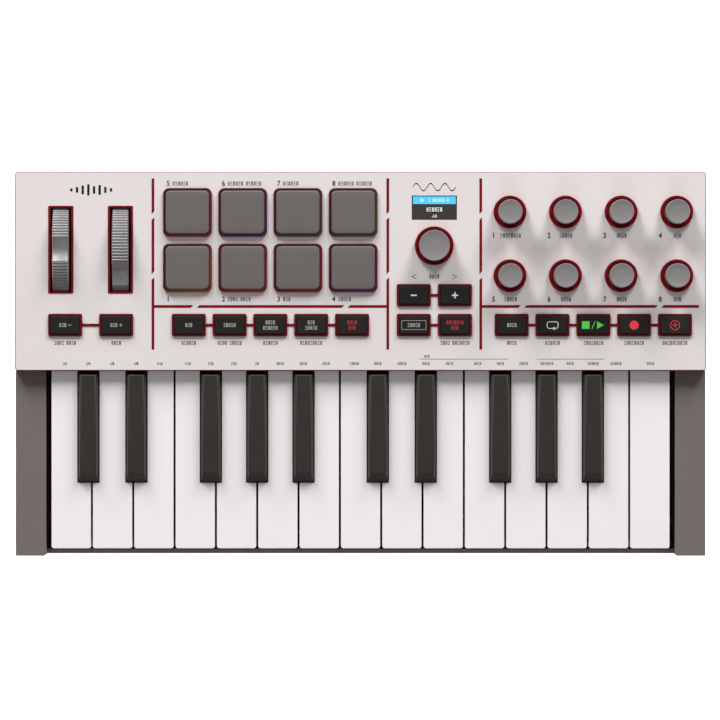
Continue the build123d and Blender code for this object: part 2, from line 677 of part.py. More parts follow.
# ---- key chassis ---------------------------------------------------------------------
def key_chassis():
    """Frame under the keys with its guide posts, hinge rod, springs, felts and contact board."""
    whites, blacks = key_layout()
    base = CHASSIS_BASE_TOP
    frame = box(-CHASSIS_BASE_HALF, CHASSIS_BASE_HALF, CHASSIS_FRONT, CHASSIS_REAR, FLOOR_TOP, base)
    frame += box(-BEAM_HALF, BEAM_HALF, STOP_BEAM[0], STOP_BEAM[1], base, STOP_BEAM[2])
    frame += box(-CHASSIS_HALF, CHASSIS_HALF, SPRING_WALL_FRONT, CHASSIS_REAR, base, SPRING_UNDER)
    board_under = CONTACT_BOARD[2]
    for front, rear in CONTACT_WALLS:
        frame += box(-BEAM_HALF, BEAM_HALF, front, rear, base, board_under)
    frame += box(-BEAM_HALF, BEAM_HALF, *CONTACT_SHELF, board_under)
    for x in [-END_RIB_X, END_RIB_X] + [key_joint(index) for index in RIB_JOINTS]:
        frame += box(x - RIB_HALF_W, x + RIB_HALF_W, RIB_FRONT, SPRING_WALL_FRONT, base, RIB_TOP)
    posts = []
    for name, left, right, tail_left, tail_right in whites:
        width = right - left - 2 * (KEY_WALL + POST_GAP)
        posts.append(block((left + right) / 2, WHITE_POST[0], width, POST_D, base, WHITE_POST[1]))
    for name, x in blacks:
        width = BLACK_W - 2 * (KEY_WALL + POST_GAP)
        posts.append(block(x, BLACK_POST[0], width, POST_D, base, BLACK_POST[1]))
    frame = frame + posts
    frame -= rod_x(-ROD_HALF - PAST, ROD_HALF + PAST, HINGE_Y, HINGE_Z, ROD_R + ROD_GRIP)
    hinge_rod = rod_x(-ROD_HALF, ROD_HALF, HINGE_Y, HINGE_Z, ROD_R)
    centres = [(tail_left + tail_right) / 2 for name, left, right, tail_left, tail_right in whites]
    centres += [x for name, x in blacks]
    finger_y, finger_w, finger_len = SPRING_FINGER
    springs = box(-SPRING_HALF, SPRING_HALF, SPRING_WALL_FRONT, CHASSIS_REAR, SPRING_UNDER, SPRING_TOP)
    springs = springs + [block(x, finger_y, finger_w, finger_len, SPRING_UNDER, SPRING_TOP)
                         for x in centres]
    domes = box(-SPRING_HALF, SPRING_HALF, *DOME_STRIP)
    domes = domes + [rod_z(x, DOME_Y, DOME_R, DOME_UNDER, DOME_TOP) for x in centres]
    contact_board = box(-BEAM_HALF, BEAM_HALF, *CONTACT_BOARD)
    felt = box(-BEAM_HALF, BEAM_HALF, *FELT)
    return [frame, hinge_rod, springs, contact_board, domes, felt]


# ---- control board -------------------------------------------------------------------
def socket_block(x, z, w, y0, z0, bore_r, bore_depth, nose_r):
    """Panel socket soldered under the board, with a round nose through the rear wall."""
    rear = HALF_D - WALL - SOCKET_GAP
    body = box(x - w / 2, x + w / 2, y0, rear, z0, BOARD_UNDER)
    nose = rod_y(x, z, rear, SOCKET_FACE_Y, nose_r)
    return body + nose - rod_y(x, z, SOCKET_FACE_Y - bore_depth, SOCKET_FACE_Y + PAST, bore_r)


def usb_socket():
    """Small data socket: metal shell with its tongue, joined to the board above it."""
    x, z = USB_XZ
    width, height = USB_SHELL
    socket = slot_y(x, z, width, height, USB_FRONT, SOCKET_FACE_Y)
    socket += box(x - width / 2, x + width / 2, USB_FRONT, USB_BACK, z, BOARD_UNDER)
    socket -= slot_y(x, z, *USB_MOUTH, USB_FRONT + WALL, SOCKET_FACE_Y + PAST)
    socket += slot_y(x, z, *USB_TONGUE, USB_FRONT + WALL - ROOT, SOCKET_FACE_Y - PAST)
    return socket


def control_board():
    """Main board and octave board with all the parts that are soldered to them."""
    main = box(*MAIN_BOARD, BOARD_UNDER, BOARD_TOP)
    low = BOARD_UNDER - PAST
    high = BOARD_TOP + PAST
    main -= [rod_z(x, y, BOSS_BOARD_HOLE_R, low, high) for x in BOSS_XS for y in BOSS_YS]
    main -= [rod_z(x, y, BOARD_HOLE_R, low, high) for x, y in BOARD_SCREWS]
    solids = [main, box(*OCTAVE_BOARD, BOARD_UNDER, BOARD_TOP)]
    for cx, cy in BUTTONS.values():
        body = block(cx, cy, SWITCH_SIZE, SWITCH_SIZE, BOARD_TOP, SWITCH_BODY_TOP)
        solids.append(body + rod_z(cx, cy, SWITCH_STEM_R, SWITCH_BODY_TOP, SWITCH_TOP))
    for cx in KNOB_XS:
        for cy in KNOB_YS:
            solids.append(encoder(cx, cy))
    solids.append(encoder(*DIAL_XY))
    # display: module on the board and its cover glass in the panel opening
    glass_under = PLATE_UNDER - DISPLAY_GAP
    solids.append(block(*DISPLAY_XY, MODULE_W, MODULE_D, BOARD_TOP, glass_under))
    solids.append(block(*DISPLAY_XY, DISPLAY_W, DISPLAY_D, glass_under, PANEL_TOP - GLASS_SINK))
    # sensor film under the pads
    middle_x = (PAD_XS[0] + PAD_XS[-1]) / 2
    middle_y = (PAD_YS[0] + PAD_YS[-1]) / 2
    solids.append(block(middle_x, middle_y, SENSOR_W, SENSOR_D, BOARD_TOP, PAD_WEB_UNDER))
    solids.append(socket_block(*PEDAL_SOCKET))
    solids.append(socket_block(*MIDI_SOCKET))
    solids.append(usb_socket())
    # processor, memory and power parts under the board
    for x, y, w, d, h in BOARD_PARTS:
        solids.append(block(x, y, w, d, BOARD_UNDER - h, BOARD_UNDER))
    # wheel sensors beside the bearings
    thick, deep, under, top = WHEEL_SENSOR
    for x in WHEEL_XS.values():
        solids.append(box(x + POST_OUT, x + POST_OUT + thick, WHEEL_Y - deep / 2, WHEEL_Y + deep / 2,
                          under, top))
    return solids


# ---- build ---------------------------------------------------------------------------
save("faceplate", faceplate())
save("top_case", top_case())
save("bottom_case", bottom_case())
save("rubber_feet", *rubber_feet())
save("case_screws", *case_screws())
save("key_chassis", *key_chassis())
save("control_board", *control_board())
save("pad_sheet", pad_sheet())

for name, x in WHEEL_XS.items():
    save(name, wheel(x, WHEEL_TURN if name == "mod_wheel" else 0.0))

number = 0
for cy in KNOB_YS:
    for cx in KNOB_XS:
        number += 1
        save(f"knob_{number}", knob(cx, cy, KNOB_SKIRT_R, KNOB_CAP_R, KNOB_TOP))
save("data_dial", knob(*DIAL_XY, DIAL_SKIRT_R, DIAL_CAP_R, DIAL_TOP))

for name, (cx, cy) in BUTTONS.items():
    save(name, button(cx, cy))

white_keys, black_keys = key_layout()
for name, left, right, tail_left, tail_right in white_keys:
    save(name, white_key(left, right, tail_left, tail_right))
for name, x in black_keys:
    save(name, black_key(x))
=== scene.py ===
"""Finished look of a compact 25-key midi controller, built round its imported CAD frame."""

from __future__ import annotations

import json
import logging
import math
from dataclasses import dataclass, field
from enum import Enum
from typing import Callable, Iterable, Sequence

import bmesh
import bpy
from mathutils import Matrix, Vector

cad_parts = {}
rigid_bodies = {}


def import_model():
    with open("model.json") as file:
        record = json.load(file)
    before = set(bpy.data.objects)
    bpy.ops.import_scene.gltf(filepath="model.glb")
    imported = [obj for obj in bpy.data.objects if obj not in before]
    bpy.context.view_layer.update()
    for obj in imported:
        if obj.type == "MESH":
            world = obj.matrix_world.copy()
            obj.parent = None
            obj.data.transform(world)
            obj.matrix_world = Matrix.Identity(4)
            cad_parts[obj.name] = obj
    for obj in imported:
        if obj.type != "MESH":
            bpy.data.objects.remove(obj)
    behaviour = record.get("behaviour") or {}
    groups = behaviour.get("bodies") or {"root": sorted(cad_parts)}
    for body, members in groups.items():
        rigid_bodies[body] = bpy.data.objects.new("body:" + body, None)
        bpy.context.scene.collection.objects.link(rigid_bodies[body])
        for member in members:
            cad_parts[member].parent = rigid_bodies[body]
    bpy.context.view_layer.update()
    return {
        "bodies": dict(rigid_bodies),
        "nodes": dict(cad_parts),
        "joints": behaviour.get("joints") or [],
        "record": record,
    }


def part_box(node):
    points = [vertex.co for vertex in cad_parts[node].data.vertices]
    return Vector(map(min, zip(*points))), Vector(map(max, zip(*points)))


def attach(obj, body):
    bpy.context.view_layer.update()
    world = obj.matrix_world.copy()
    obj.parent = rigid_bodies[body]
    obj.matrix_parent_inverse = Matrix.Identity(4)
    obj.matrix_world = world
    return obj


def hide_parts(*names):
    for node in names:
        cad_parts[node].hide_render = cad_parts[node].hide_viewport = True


LOG = logging.getLogger("midi_keyboard")
MM = 0.001

Colour = tuple[float, float, float]
Point = tuple[float, float]


def srgb(red: int, green: int, blue: int) -> Colour:
    """Turns a colour chart value, 0 to 255 a channel, into linear light."""

    def channel(value: int) -> float:
        """Linear value of one channel."""
        part = value / 255
        return part / 12.92 if part <= 0.04045 else ((part + 0.055) / 1.055) ** 2.4

    return channel(red), channel(green), channel(blue)


# ------------------------------------------------------------------ shader tree


class Value:
    """A socket of a shader tree; arithmetic on it adds Math nodes."""

    def __init__(self, graph: Graph, socket: bpy.types.NodeSocket) -> None:
        """Wraps one output socket.

        Args:
            graph: The tree that the socket belongs to.
            socket: The output socket.
        """
        self.graph = graph
        self.socket = socket

    def maths(self, operation: str, first: Input, second: Input) -> Value:
        """Adds one Math node.

        Args:
            operation: Blender's name for the operation.
            first: First operand.
            second: Second operand.

        Returns:
            The node's result.
        """
        return self.graph.node("ShaderNodeMath", {"operation": operation}, {0: first, 1: second})

    def __add__(self, other: Input) -> Value:
        """Sum."""
        return self.maths("ADD", self, other)

    def __radd__(self, other: Input) -> Value:
        """Sum, with a number on the left."""
        return self.maths("ADD", other, self)

    def __sub__(self, other: Input) -> Value:
        """Difference."""
        return self.maths("SUBTRACT", self, other)

    def __rsub__(self, other: Input) -> Value:
        """Difference, with a number on the left."""
        return self.maths("SUBTRACT", other, self)

    def __mul__(self, other: Input) -> Value:
        """Product."""
        return self.maths("MULTIPLY", self, other)

    def __rmul__(self, other: Input) -> Value:
        """Product, with a number on the left."""
        return self.maths("MULTIPLY", other, self)

    def __truediv__(self, other: Input) -> Value:
        """Quotient."""
        return self.maths("DIVIDE", self, other)

    def __gt__(self, other: Input) -> Value:
        """One where this is greater, else zero."""
        return self.maths("GREATER_THAN", self, other)

    def __lt__(self, other: Input) -> Value:
        """One where this is less, else zero."""
        return self.maths("LESS_THAN", self, other)


Input = "Value | float | int | Sequence[float]"


class Graph:
    """The node tree of one material, ending in a Principled shader.

    WORN_FROM and WORN_FULL are the pointiness at which an edge starts to look worn and
    is fully worn.
    """

    WORN_FROM = 0.53
    WORN_FULL = 0.62

    def __init__(self, name: str) -> None:
        """Makes an empty material with its Principled shader.

        Args:
            name: Name of the material.
        """
        self.material = bpy.data.materials.new(name)
        self.material.use_nodes = True
        self.tree = self.material.node_tree
        self.tree.nodes.clear()
        self.shader = self.tree.nodes.new("ShaderNodeBsdfPrincipled")
        output = self.tree.nodes.new("ShaderNodeOutputMaterial")
        self.tree.links.new(self.shader.outputs["BSDF"], output.inputs["Surface"])

    def feed(self, socket: bpy.types.NodeSocket, value: Input) -> None:
        """Links or sets one input socket.

        Args:
            socket: The socket to feed.
            value: A Value to link, or a number or vector to set.
        """
        if isinstance(value, Value):
            self.tree.links.new(value.socket, socket)
        else:
            socket.default_value = value

    def node(self, kind: str, settings: dict | None = None, inputs: dict | None = None,
             result: int | str = 0) -> Value:
        """Adds any node.

        Args:
            kind: Blender's type name of the node.
            settings: The node's own properties, set first.
            inputs: Input sockets by name or number, with their values or links.
            result: The output socket to return.

        Returns:
            The chosen output.
        """
        made = self.tree.nodes.new(kind)
        for key, value in (settings or {}).items():
            setattr(made, key, value)
        for key, value in (inputs or {}).items():
            self.feed(made.inputs[key], value)
        return Value(self, made.outputs[result])

    def surface(self, **inputs: Input) -> None:
        """Feeds the Principled shader; underscores in a name stand for spaces."""
        for key, value in inputs.items():
            if isinstance(value, tuple) and len(value) == 3:
                value = (*value, 1.0)
            self.feed(self.shader.inputs[key.replace("_", " ")], value)

    def place(self) -> Value:
        """Position on the piece, in metres."""
        return self.node("ShaderNodeTexCoord", result="Object")

    def axes(self) -> tuple[Value, Value, Value]:
        """Position on the piece as three numbers."""
        split = self.tree.nodes.new("ShaderNodeSeparateXYZ")
        self.feed(split.inputs[0], self.place())
        x, y, z = (Value(self, output) for output in split.outputs)
        return x, y, z

    def noise(self, size: float, detail: float = 3.0,
              stretch: Sequence[float] = (1, 1, 1)) -> Value:
        """Cloudy variation about a half.

        Args:
            size: Size of a cloud, in metres.
            detail: Octaves.
            stretch: Scale of the pattern along each axis.

        Returns:
            The noise, 0 to 1.
        """
        spread = self.node("ShaderNodeVectorMath", {"operation": "MULTIPLY"},
                           {0: self.place(), 1: stretch})
        return self.node("ShaderNodeTexNoise", {},
                         {"Vector": spread, "Scale": 1 / size, "Detail": detail})

    def cells(self, size: float) -> Value:
        """Distance to the nearest of many scattered points, in cell sizes."""
        return self.node("ShaderNodeTexVoronoi", {}, {"Vector": self.place(), "Scale": 1 / size})

    def blend(self, amount: Input, first: Input, second: Input) -> Value:
        """Mixes two colours.

        Args:
            amount: 0 gives the first colour and 1 the second.
            first: First colour.
            second: Second colour.

        Returns:
            The mixed colour.
        """
        pair = [(*c, 1.0) if isinstance(c, tuple) else c for c in (first, second)]
        mixed = self.tree.nodes.new("ShaderNodeMix")
        mixed.data_type = "RGBA"
        self.feed(mixed.inputs["Factor"], amount)
        self.feed(mixed.inputs[6], pair[0])
        self.feed(mixed.inputs[7], pair[1])
        return Value(self, mixed.outputs[2])

    def edge_wear(self) -> Value:
        """One on worn outer edges, zero elsewhere."""
        sharpness = self.node("ShaderNodeNewGeometry", result="Pointiness")
        return self.node("ShaderNodeMapRange", {"interpolation_type": "SMOOTHSTEP"},
                         {0: sharpness, 1: self.WORN_FROM, 2: self.WORN_FULL})

    def bump(self, height: Value, depth: float) -> Value:
        """Relief on the surface.

        Args:
            height: Height pattern, 0 to 1.
            depth: Depth of the relief, in metres.

        Returns:
            The bent normal.
        """
        return self.node("ShaderNodeBump", {},
                         {"Height": height, "Distance": depth, "Strength": 1.0})


# ------------------------------------------------------------------ finishes


@dataclass(frozen=True)
class Finish:
    """Plain moulded or painted surface, with grain, mottling and light wear."""

    name: str
    colour: Colour
    roughness: float = 0.45
    grain: float = 0.35 * MM
    relief: float = 0.02 * MM
    mottle: float = 0.05
    wear: float = 0.15
    coat: float = 0.0
    shine: float = 0.5

    def make(self) -> bpy.types.Material:
        """Builds the material."""
        graph = Graph(self.name)
        self.dress(graph)
        return graph.material

    def tinted(self, graph: Graph, colour: Input) -> Value:
        """Varies a colour in large soft patches and lightens its worn edges.

        Args:
            graph: The material's tree.
            colour: The clean colour.

        Returns:
            The varied colour.
        """
        patches = graph.noise(22 * MM, 4.0) - 0.5
        specks = graph.noise(1.1 * MM, 2.0) - 0.5
        level = 1.0 + patches * self.mottle + specks * (self.mottle * 0.6)
        varied = graph.node("ShaderNodeHueSaturation", {},
                            {"Color": self.full(colour), "Value": level})
        if not self.wear:
            return varied
        rubbed = graph.edge_wear() * graph.noise(3.0 * MM, 4.0) * self.wear
        return graph.blend(rubbed, varied, self.worn(colour))

    @staticmethod
    def full(colour: Input) -> Input:
        """Adds an alpha of one to a plain colour."""
        return (*colour, 1.0) if isinstance(colour, tuple) else colour

    def worn(self, colour: Input) -> Input:
        """Colour of a rubbed edge."""
        if isinstance(colour, tuple):
            return tuple(min(1.0, part * 1.25 + 0.04) for part in colour)
        return tuple(min(1.0, part * 1.25 + 0.04) for part in self.colour)

    def dress(self, graph: Graph) -> None:
        """Feeds the shader."""
        grain = graph.noise(self.grain, 2.0)
        handled = graph.noise(35 * MM, 3.0)
        graph.surface(
            Base_Color=self.tinted(graph, self.colour),
            Roughness=self.roughness + (handled - 0.5) * 0.16 + (grain - 0.5) * 0.08,
            Normal=graph.bump(grain, self.relief),
            Coat_Weight=self.coat,
            Coat_Roughness=0.15,
            Specular_IOR_Level=self.shine,
        )


@dataclass(frozen=True)
class Eroded(Finish):
    """Spark-eroded mould texture: rounded pits close together."""

    def dress(self, graph: Graph) -> None:
        """Feeds the shader."""
        pits = graph.cells(self.grain)
        fine = graph.noise(self.grain * 0.5, 2.0)
        relief = pits * 0.7 + fine * 0.3
        graph.surface(
            Base_Color=self.tinted(graph, self.colour),
            Roughness=self.roughness + (pits - 0.4) * 0.15,
            Normal=graph.bump(relief, self.relief),
            Specular_IOR_Level=self.shine,
        )


@dataclass(frozen=True)
class Glowing(Finish):
    """Dark translucent rim, lit from inside by a coloured lamp near one corner."""

    glow: Colour = (1.0, 0.0, 0.0)
    centre: Point = (0.0, 0.0)
    half: float = 11.0 * MM
    strength: float = 0.3

    def dress(self, graph: Graph) -> None:
        """Feeds the shader."""
        along, across, _ = graph.axes()
        right = (along - self.centre[0]) / self.half
        front = (self.centre[1] - across) / self.half
        nearest = right.maths("MAXIMUM", right, front)
        lit = graph.node("ShaderNodeMapRange", {"interpolation_type": "SMOOTHSTEP"},
                         {0: nearest + (right + front) * 0.12, 1: 0.72, 2: 1.12})
        uneven = 0.6 + graph.noise(6 * MM, 2.0) * 0.8
        graph.surface(
            Base_Color=self.tinted(graph, self.colour),
            Roughness=self.roughness + (graph.noise(self.grain, 2.0) - 0.5) * 0.1,
            Normal=graph.bump(graph.noise(self.grain, 2.0), self.relief),
            Emission_Color=graph.blend(lit * uneven, (0.0, 0.0, 0.0), self.glow),
            Emission_Strength=self.strength,
        )


@dataclass(frozen=True)
class Layered(Finish):
    """Surface whose colour changes with height, for groups of stacked inner parts, and for the
    painted shade on the crimson case's rims round the buttons.
    """

    layers: tuple[tuple[float, float, Colour], ...] = ()

    def dress(self, graph: Graph) -> None:
        """Feeds the shader."""
        height = graph.axes()[2]
        colour: Input = self.colour
        for low, high, tone in self.layers:
            inside = (height > low) * (height < high)
            colour = graph.blend(inside, colour, tone)
        grain = graph.noise(self.grain, 2.0)
        graph.surface(
            Base_Color=self.tinted(graph, colour),
            Roughness=self.roughness + (grain - 0.5) * 0.2,
            Normal=graph.bump(grain, self.relief),
            Specular_IOR_Level=self.shine,
        )


@dataclass(frozen=True)
class Metal(Finish):
    """Turned or plated metal, or paint with metal flakes, with fine directional scratches."""

    metallic: float = 1.0

    def dress(self, graph: Graph) -> None:
        """Feeds the shader."""
        scratches = graph.noise(self.grain, 3.0, (1, 8, 8))
        graph.surface(
            Base_Color=self.tinted(graph, self.colour),
            Metallic=self.metallic,
            Roughness=self.roughness + (scratches - 0.5) * 0.2,
            Normal=graph.bump(scratches, self.relief),
        )


@dataclass(frozen=True)
class Lit(Finish):
    """Backlit screen surface with a faint dot grid."""

    strength: float = 0.6

    def dress(self, graph: Graph) -> None:
        """Feeds the shader."""
        dots = graph.node("ShaderNodeTexWave", {"wave_type": "BANDS", "bands_direction": "X"},
                          {"Vector": graph.place(), "Scale": 0.25 / MM, "Distortion": 0.0})
        shade = 0.93 + dots * 0.07
        glow = graph.node("ShaderNodeHueSaturation", {},
                          {"Color": (*self.colour, 1.0), "Value": shade})
        graph.surface(
            Base_Color=self.tinted(graph, self.colour),
            Roughness=self.roughness + (graph.noise(9 * MM, 3.0) - 0.5) * 0.1,
            Emission_Color=glow,
            Emission_Strength=self.strength,
            Normal=graph.bump(graph.noise(self.grain, 2.0), self.relief),
        )


CRIMSON = srgb(124, 7, 20)
PANEL_PAINT = Finish("panel_paint", srgb(229, 222, 221), roughness=0.5, grain=0.25 * MM,
                     relief=0.008 * MM, mottle=0.02, wear=0.05, shine=0.3)
CRIMSON_SHELL = Finish("crimson_shell", CRIMSON, roughness=0.4, grain=0.5 * MM, relief=0.006 * MM,
                       mottle=0.08, wear=0.08, coat=0.05, shine=0.2)
# Crimson case with the tops of its raised rims round the buttons, 32.7 to 34.0 mm high, in a darker
# maroon: painted shade on the rims.
CRIMSON_SHADED_RIMS = Layered("crimson_case_shaded_rims", CRIMSON, roughness=0.4, grain=0.5 * MM, relief=0.006 * MM,
                       mottle=0.08, wear=0.08, shine=0.2, layers=(
    (32.7 * MM, 34.0 * MM, srgb(98, 9, 18)),
))
CASE_GREY = Eroded("case_grey", srgb(115, 107, 104), roughness=0.65, grain=0.55 * MM,
                   relief=0.04 * MM, mottle=0.05, wear=0.15, shine=0.25)
WHITE_KEY = Finish("white_key_plastic", srgb(250, 244, 246), roughness=0.35, grain=0.6 * MM,
                   relief=0.004 * MM, mottle=0.015, wear=0.05, coat=0.1, shine=0.4)
BLACK_KEY = Finish("black_key_plastic", srgb(50, 46, 42), roughness=0.5, grain=0.3 * MM,
                   relief=0.01 * MM, mottle=0.08, wear=0.2, shine=0.25)
BUTTON_BLACK = Finish("button_rubber", srgb(32, 30, 27), roughness=0.6, grain=0.22 * MM,
                      relief=0.012 * MM, mottle=0.1, wear=0.2, shine=0.2)
KNOB_GREY = Eroded("knob_cap_plastic", srgb(136, 131, 131), roughness=0.6, grain=0.3 * MM,
                   relief=0.015 * MM, mottle=0.05, wear=0.2, shine=0.25)
WHEEL_GREY = Metal("wheel_satin", srgb(140, 137, 139), roughness=0.45, grain=0.6 * MM,
                   relief=0.001 * MM, mottle=0.05, wear=0.0, metallic=0.35)
PAD_SILICONE = Eroded("pad_silicone", srgb(108, 103, 100), roughness=0.75, grain=0.28 * MM,
                      relief=0.025 * MM, mottle=0.04, wear=0.15, shine=0.2)
INK = Finish("panel_ink", srgb(34, 29, 29), roughness=0.7, grain=0.2 * MM, relief=0.004 * MM,
             mottle=0.1, wear=0.0, shine=0.1)
SCREEN_DARK = Lit("screen_dark", srgb(50, 43, 40), roughness=0.5, grain=0.3 * MM, relief=0.001 * MM,
                  mottle=0.02, wear=0.0, shine=0.2, strength=0.15)
SCREEN_HEADER = Lit("screen_header", srgb(66, 182, 222), roughness=0.5, grain=0.3 * MM,
                    relief=0.001 * MM, mottle=0.02, wear=0.0, shine=0.2, strength=0.45)
SCREEN_TEXT = Lit("screen_text", srgb(225, 225, 225), roughness=0.3, grain=0.3 * MM,
                  relief=0.001 * MM, mottle=0.02, wear=0.0, shine=0.2, strength=0.3)
# Dark red felt strips at the black keys' rear ends: their colour is painted shade with a painted
# red reflection, for the shadowed gap under the panel's front edge.
FELT_PAINTED_SHADE = Eroded("red_felt", srgb(74, 12, 16), roughness=0.95, grain=0.35 * MM, relief=0.08 * MM,
              mottle=0.15, wear=0.0, shine=0.1)
FOOT_RUBBER = Eroded("foot_rubber", srgb(28, 27, 26), roughness=0.85, grain=0.5 * MM,
                     relief=0.04 * MM, mottle=0.1, wear=0.2)
ZINC = Metal("zinc_plate", srgb(175, 175, 180), roughness=0.35, grain=0.3 * MM, relief=0.004 * MM,
             mottle=0.08, wear=0.1)
CHASSIS = Layered("chassis_parts", srgb(30, 29, 28), roughness=0.6, grain=0.5 * MM,
                  relief=0.02 * MM, mottle=0.08, wear=0.15, layers=(
    (10.7 * MM, 12.1 * MM, srgb(24, 74, 44)),
    (15.85 * MM, 16.4 * MM, srgb(150, 150, 150)),
))
BOARD = Layered("board_parts", srgb(26, 26, 27), roughness=0.45, grain=0.6 * MM, relief=0.01 * MM,
                mottle=0.1, wear=0.1, layers=(
    (20.3 * MM, 22.05 * MM, srgb(20, 82, 48)),
))


class MarkTone(Enum):
    """Colours that a button's printed mark comes in."""

    WHITE = srgb(190, 190, 187)
    RED = srgb(205, 48, 60)
    PALE_LABEL = srgb(148, 148, 144)
    RED_LABEL = srgb(158, 42, 54)
    GREEN = srgb(70, 190, 76)

    def finish(self) -> Finish:
        """Ink of this colour, which glows a little from the lamp behind it."""
        return Lit(f"mark_{self.name.lower()}", self.value, roughness=0.5, grain=0.2 * MM,
                   relief=0.002 * MM, mottle=0.04, wear=0.0, strength=0.35)


class Palette:
    """Makes each finish once and hands it out."""

    def __init__(self) -> None:
        """Starts empty."""
        self.made: dict[str, bpy.types.Material] = {}

    def get(self, finish: Finish) -> bpy.types.Material:
        """Material of a finish, made on first use."""
        if finish.name not in self.made:
            self.made[finish.name] = finish.make()
        return self.made[finish.name]


# ------------------------------------------------------------------ mesh tools


class Shape:
    """A mesh being built, in metres in the object's frame."""

    def __init__(self) -> None:
        """Starts an empty mesh."""
        self.bm = bmesh.new()

    def rings(self, loops: Sequence[Sequence[Vector]], capped: bool = True,
              closed: bool = False) -> None:
        """Skins a row of closed loops with equal numbers of points.

        Args:
            loops: The loops, in order.
            capped: Closes both ends with a face.
            closed: Joins the last loop to the first.
        """
        rows = [[self.bm.verts.new(point) for point in loop] for loop in loops]
        pairs = list(zip(rows, rows[1:]))
        if closed:
            pairs.append((rows[-1], rows[0]))
        for low, high in pairs:
            for number, corner in enumerate(low):
                after = (number + 1) % len(low)
                self.bm.faces.new((corner, low[after], high[after], high[number]))
        if capped and not closed:
            self.bm.faces.new(reversed(rows[0]))
            self.bm.faces.new(rows[-1])

    def prism(self, outline: Sequence[Point], low: float, high: float) -> None:
        """Upright prism on a plan outline."""
        self.rings([[Vector((x, y, z)) for x, y in outline] for z in (low, high)])

    def band(self, outer: Sequence[Point], inner: Sequence[Point], low: float, high: float) -> None:
        """Flat ring between two plan outlines with equal numbers of points."""
        section = [(outer, low), (outer, high), (inner, high), (inner, low)]
        self.rings([[Vector((x, y, z)) for x, y in loop] for loop, z in section], closed=True)

    def turned(self, profile: Sequence[Point], centre: Point, steps: int,
               radius: Callable[[float, float, float], float] | None = None) -> None:
        """Lathe work about a vertical axis.

        Args:
            profile: Radius and height pairs, from the bottom up.
            centre: Plan position of the axis.
            steps: Points round the axis.
            radius: Changes a radius, given the radius, height and angle.
        """
        loops = []
        for distance, height in profile:
            loop = []
            for step in range(steps):
                angle = math.tau * step / steps
                reach = radius(distance, height, angle) if radius else distance
                loop.append(Vector((centre[0] + reach * math.cos(angle),
                                    centre[1] + reach * math.sin(angle), height)))
            loops.append(loop)
        self.rings(loops)

    def finish(self, name: str, smooth: float = 35.0,
               rounded: Sequence[bmesh.types.BMFace] | None = None) -> bpy.types.Object:
        """Turns the mesh into an object.

        Args:
            name: Name of the piece.
            smooth: Faces that meet at less than this many degrees shade as one.
            rounded: The faces that shade smoothly, where the others are flat; all of
                them if left out.

        Returns:
            The new object.
        """
        bmesh.ops.recalc_face_normals(self.bm, faces=self.bm.faces)
        curved = set(self.bm.faces if rounded is None else rounded)
        flags = [face in curved for face in self.bm.faces]
        mesh = bpy.data.meshes.new(name)
        self.bm.to_mesh(mesh)
        self.bm.free()
        mesh.set_sharp_from_angle(angle=math.radians(smooth))
        mesh.polygons.foreach_set("use_smooth", flags)
        made = bpy.data.objects.new(name, mesh)
        bpy.context.scene.collection.objects.link(made)
        return made


def rounded_square(centre: Point, half: Point, radius: float, arc: int = 6) -> list[Point]:
    """Outline of a rectangle with round corners.

    Args:
        centre: Middle of the rectangle.
        half: Half its width and depth.
        radius: Corner radius.
        arc: Steps in each corner.

    Returns:
        The outline's points, anticlockwise.
    """
    points = []
    for corner, (sx, sy) in enumerate([(1, 1), (-1, 1), (-1, -1), (1, -1)]):
        hub = (centre[0] + sx * (half[0] - radius), centre[1] + sy * (half[1] - radius))
        for step in range(arc + 1):
            angle = math.pi / 2 * (corner + step / arc)
            points.append((hub[0] + radius * math.cos(angle), hub[1] + radius * math.sin(angle)))
    return points


def circle(centre: Point, radius: float, steps: int = 40) -> list[Point]:
    """Outline of a circle."""
    angles = [math.tau * step / steps for step in range(steps)]
    return [(centre[0] + radius * math.cos(a), centre[1] + radius * math.sin(a)) for a in angles]


class Align(Enum):
    """Where a label stands against its given place."""

    LEFT = "LEFT"
    CENTRE = "CENTER"
    RIGHT = "RIGHT"


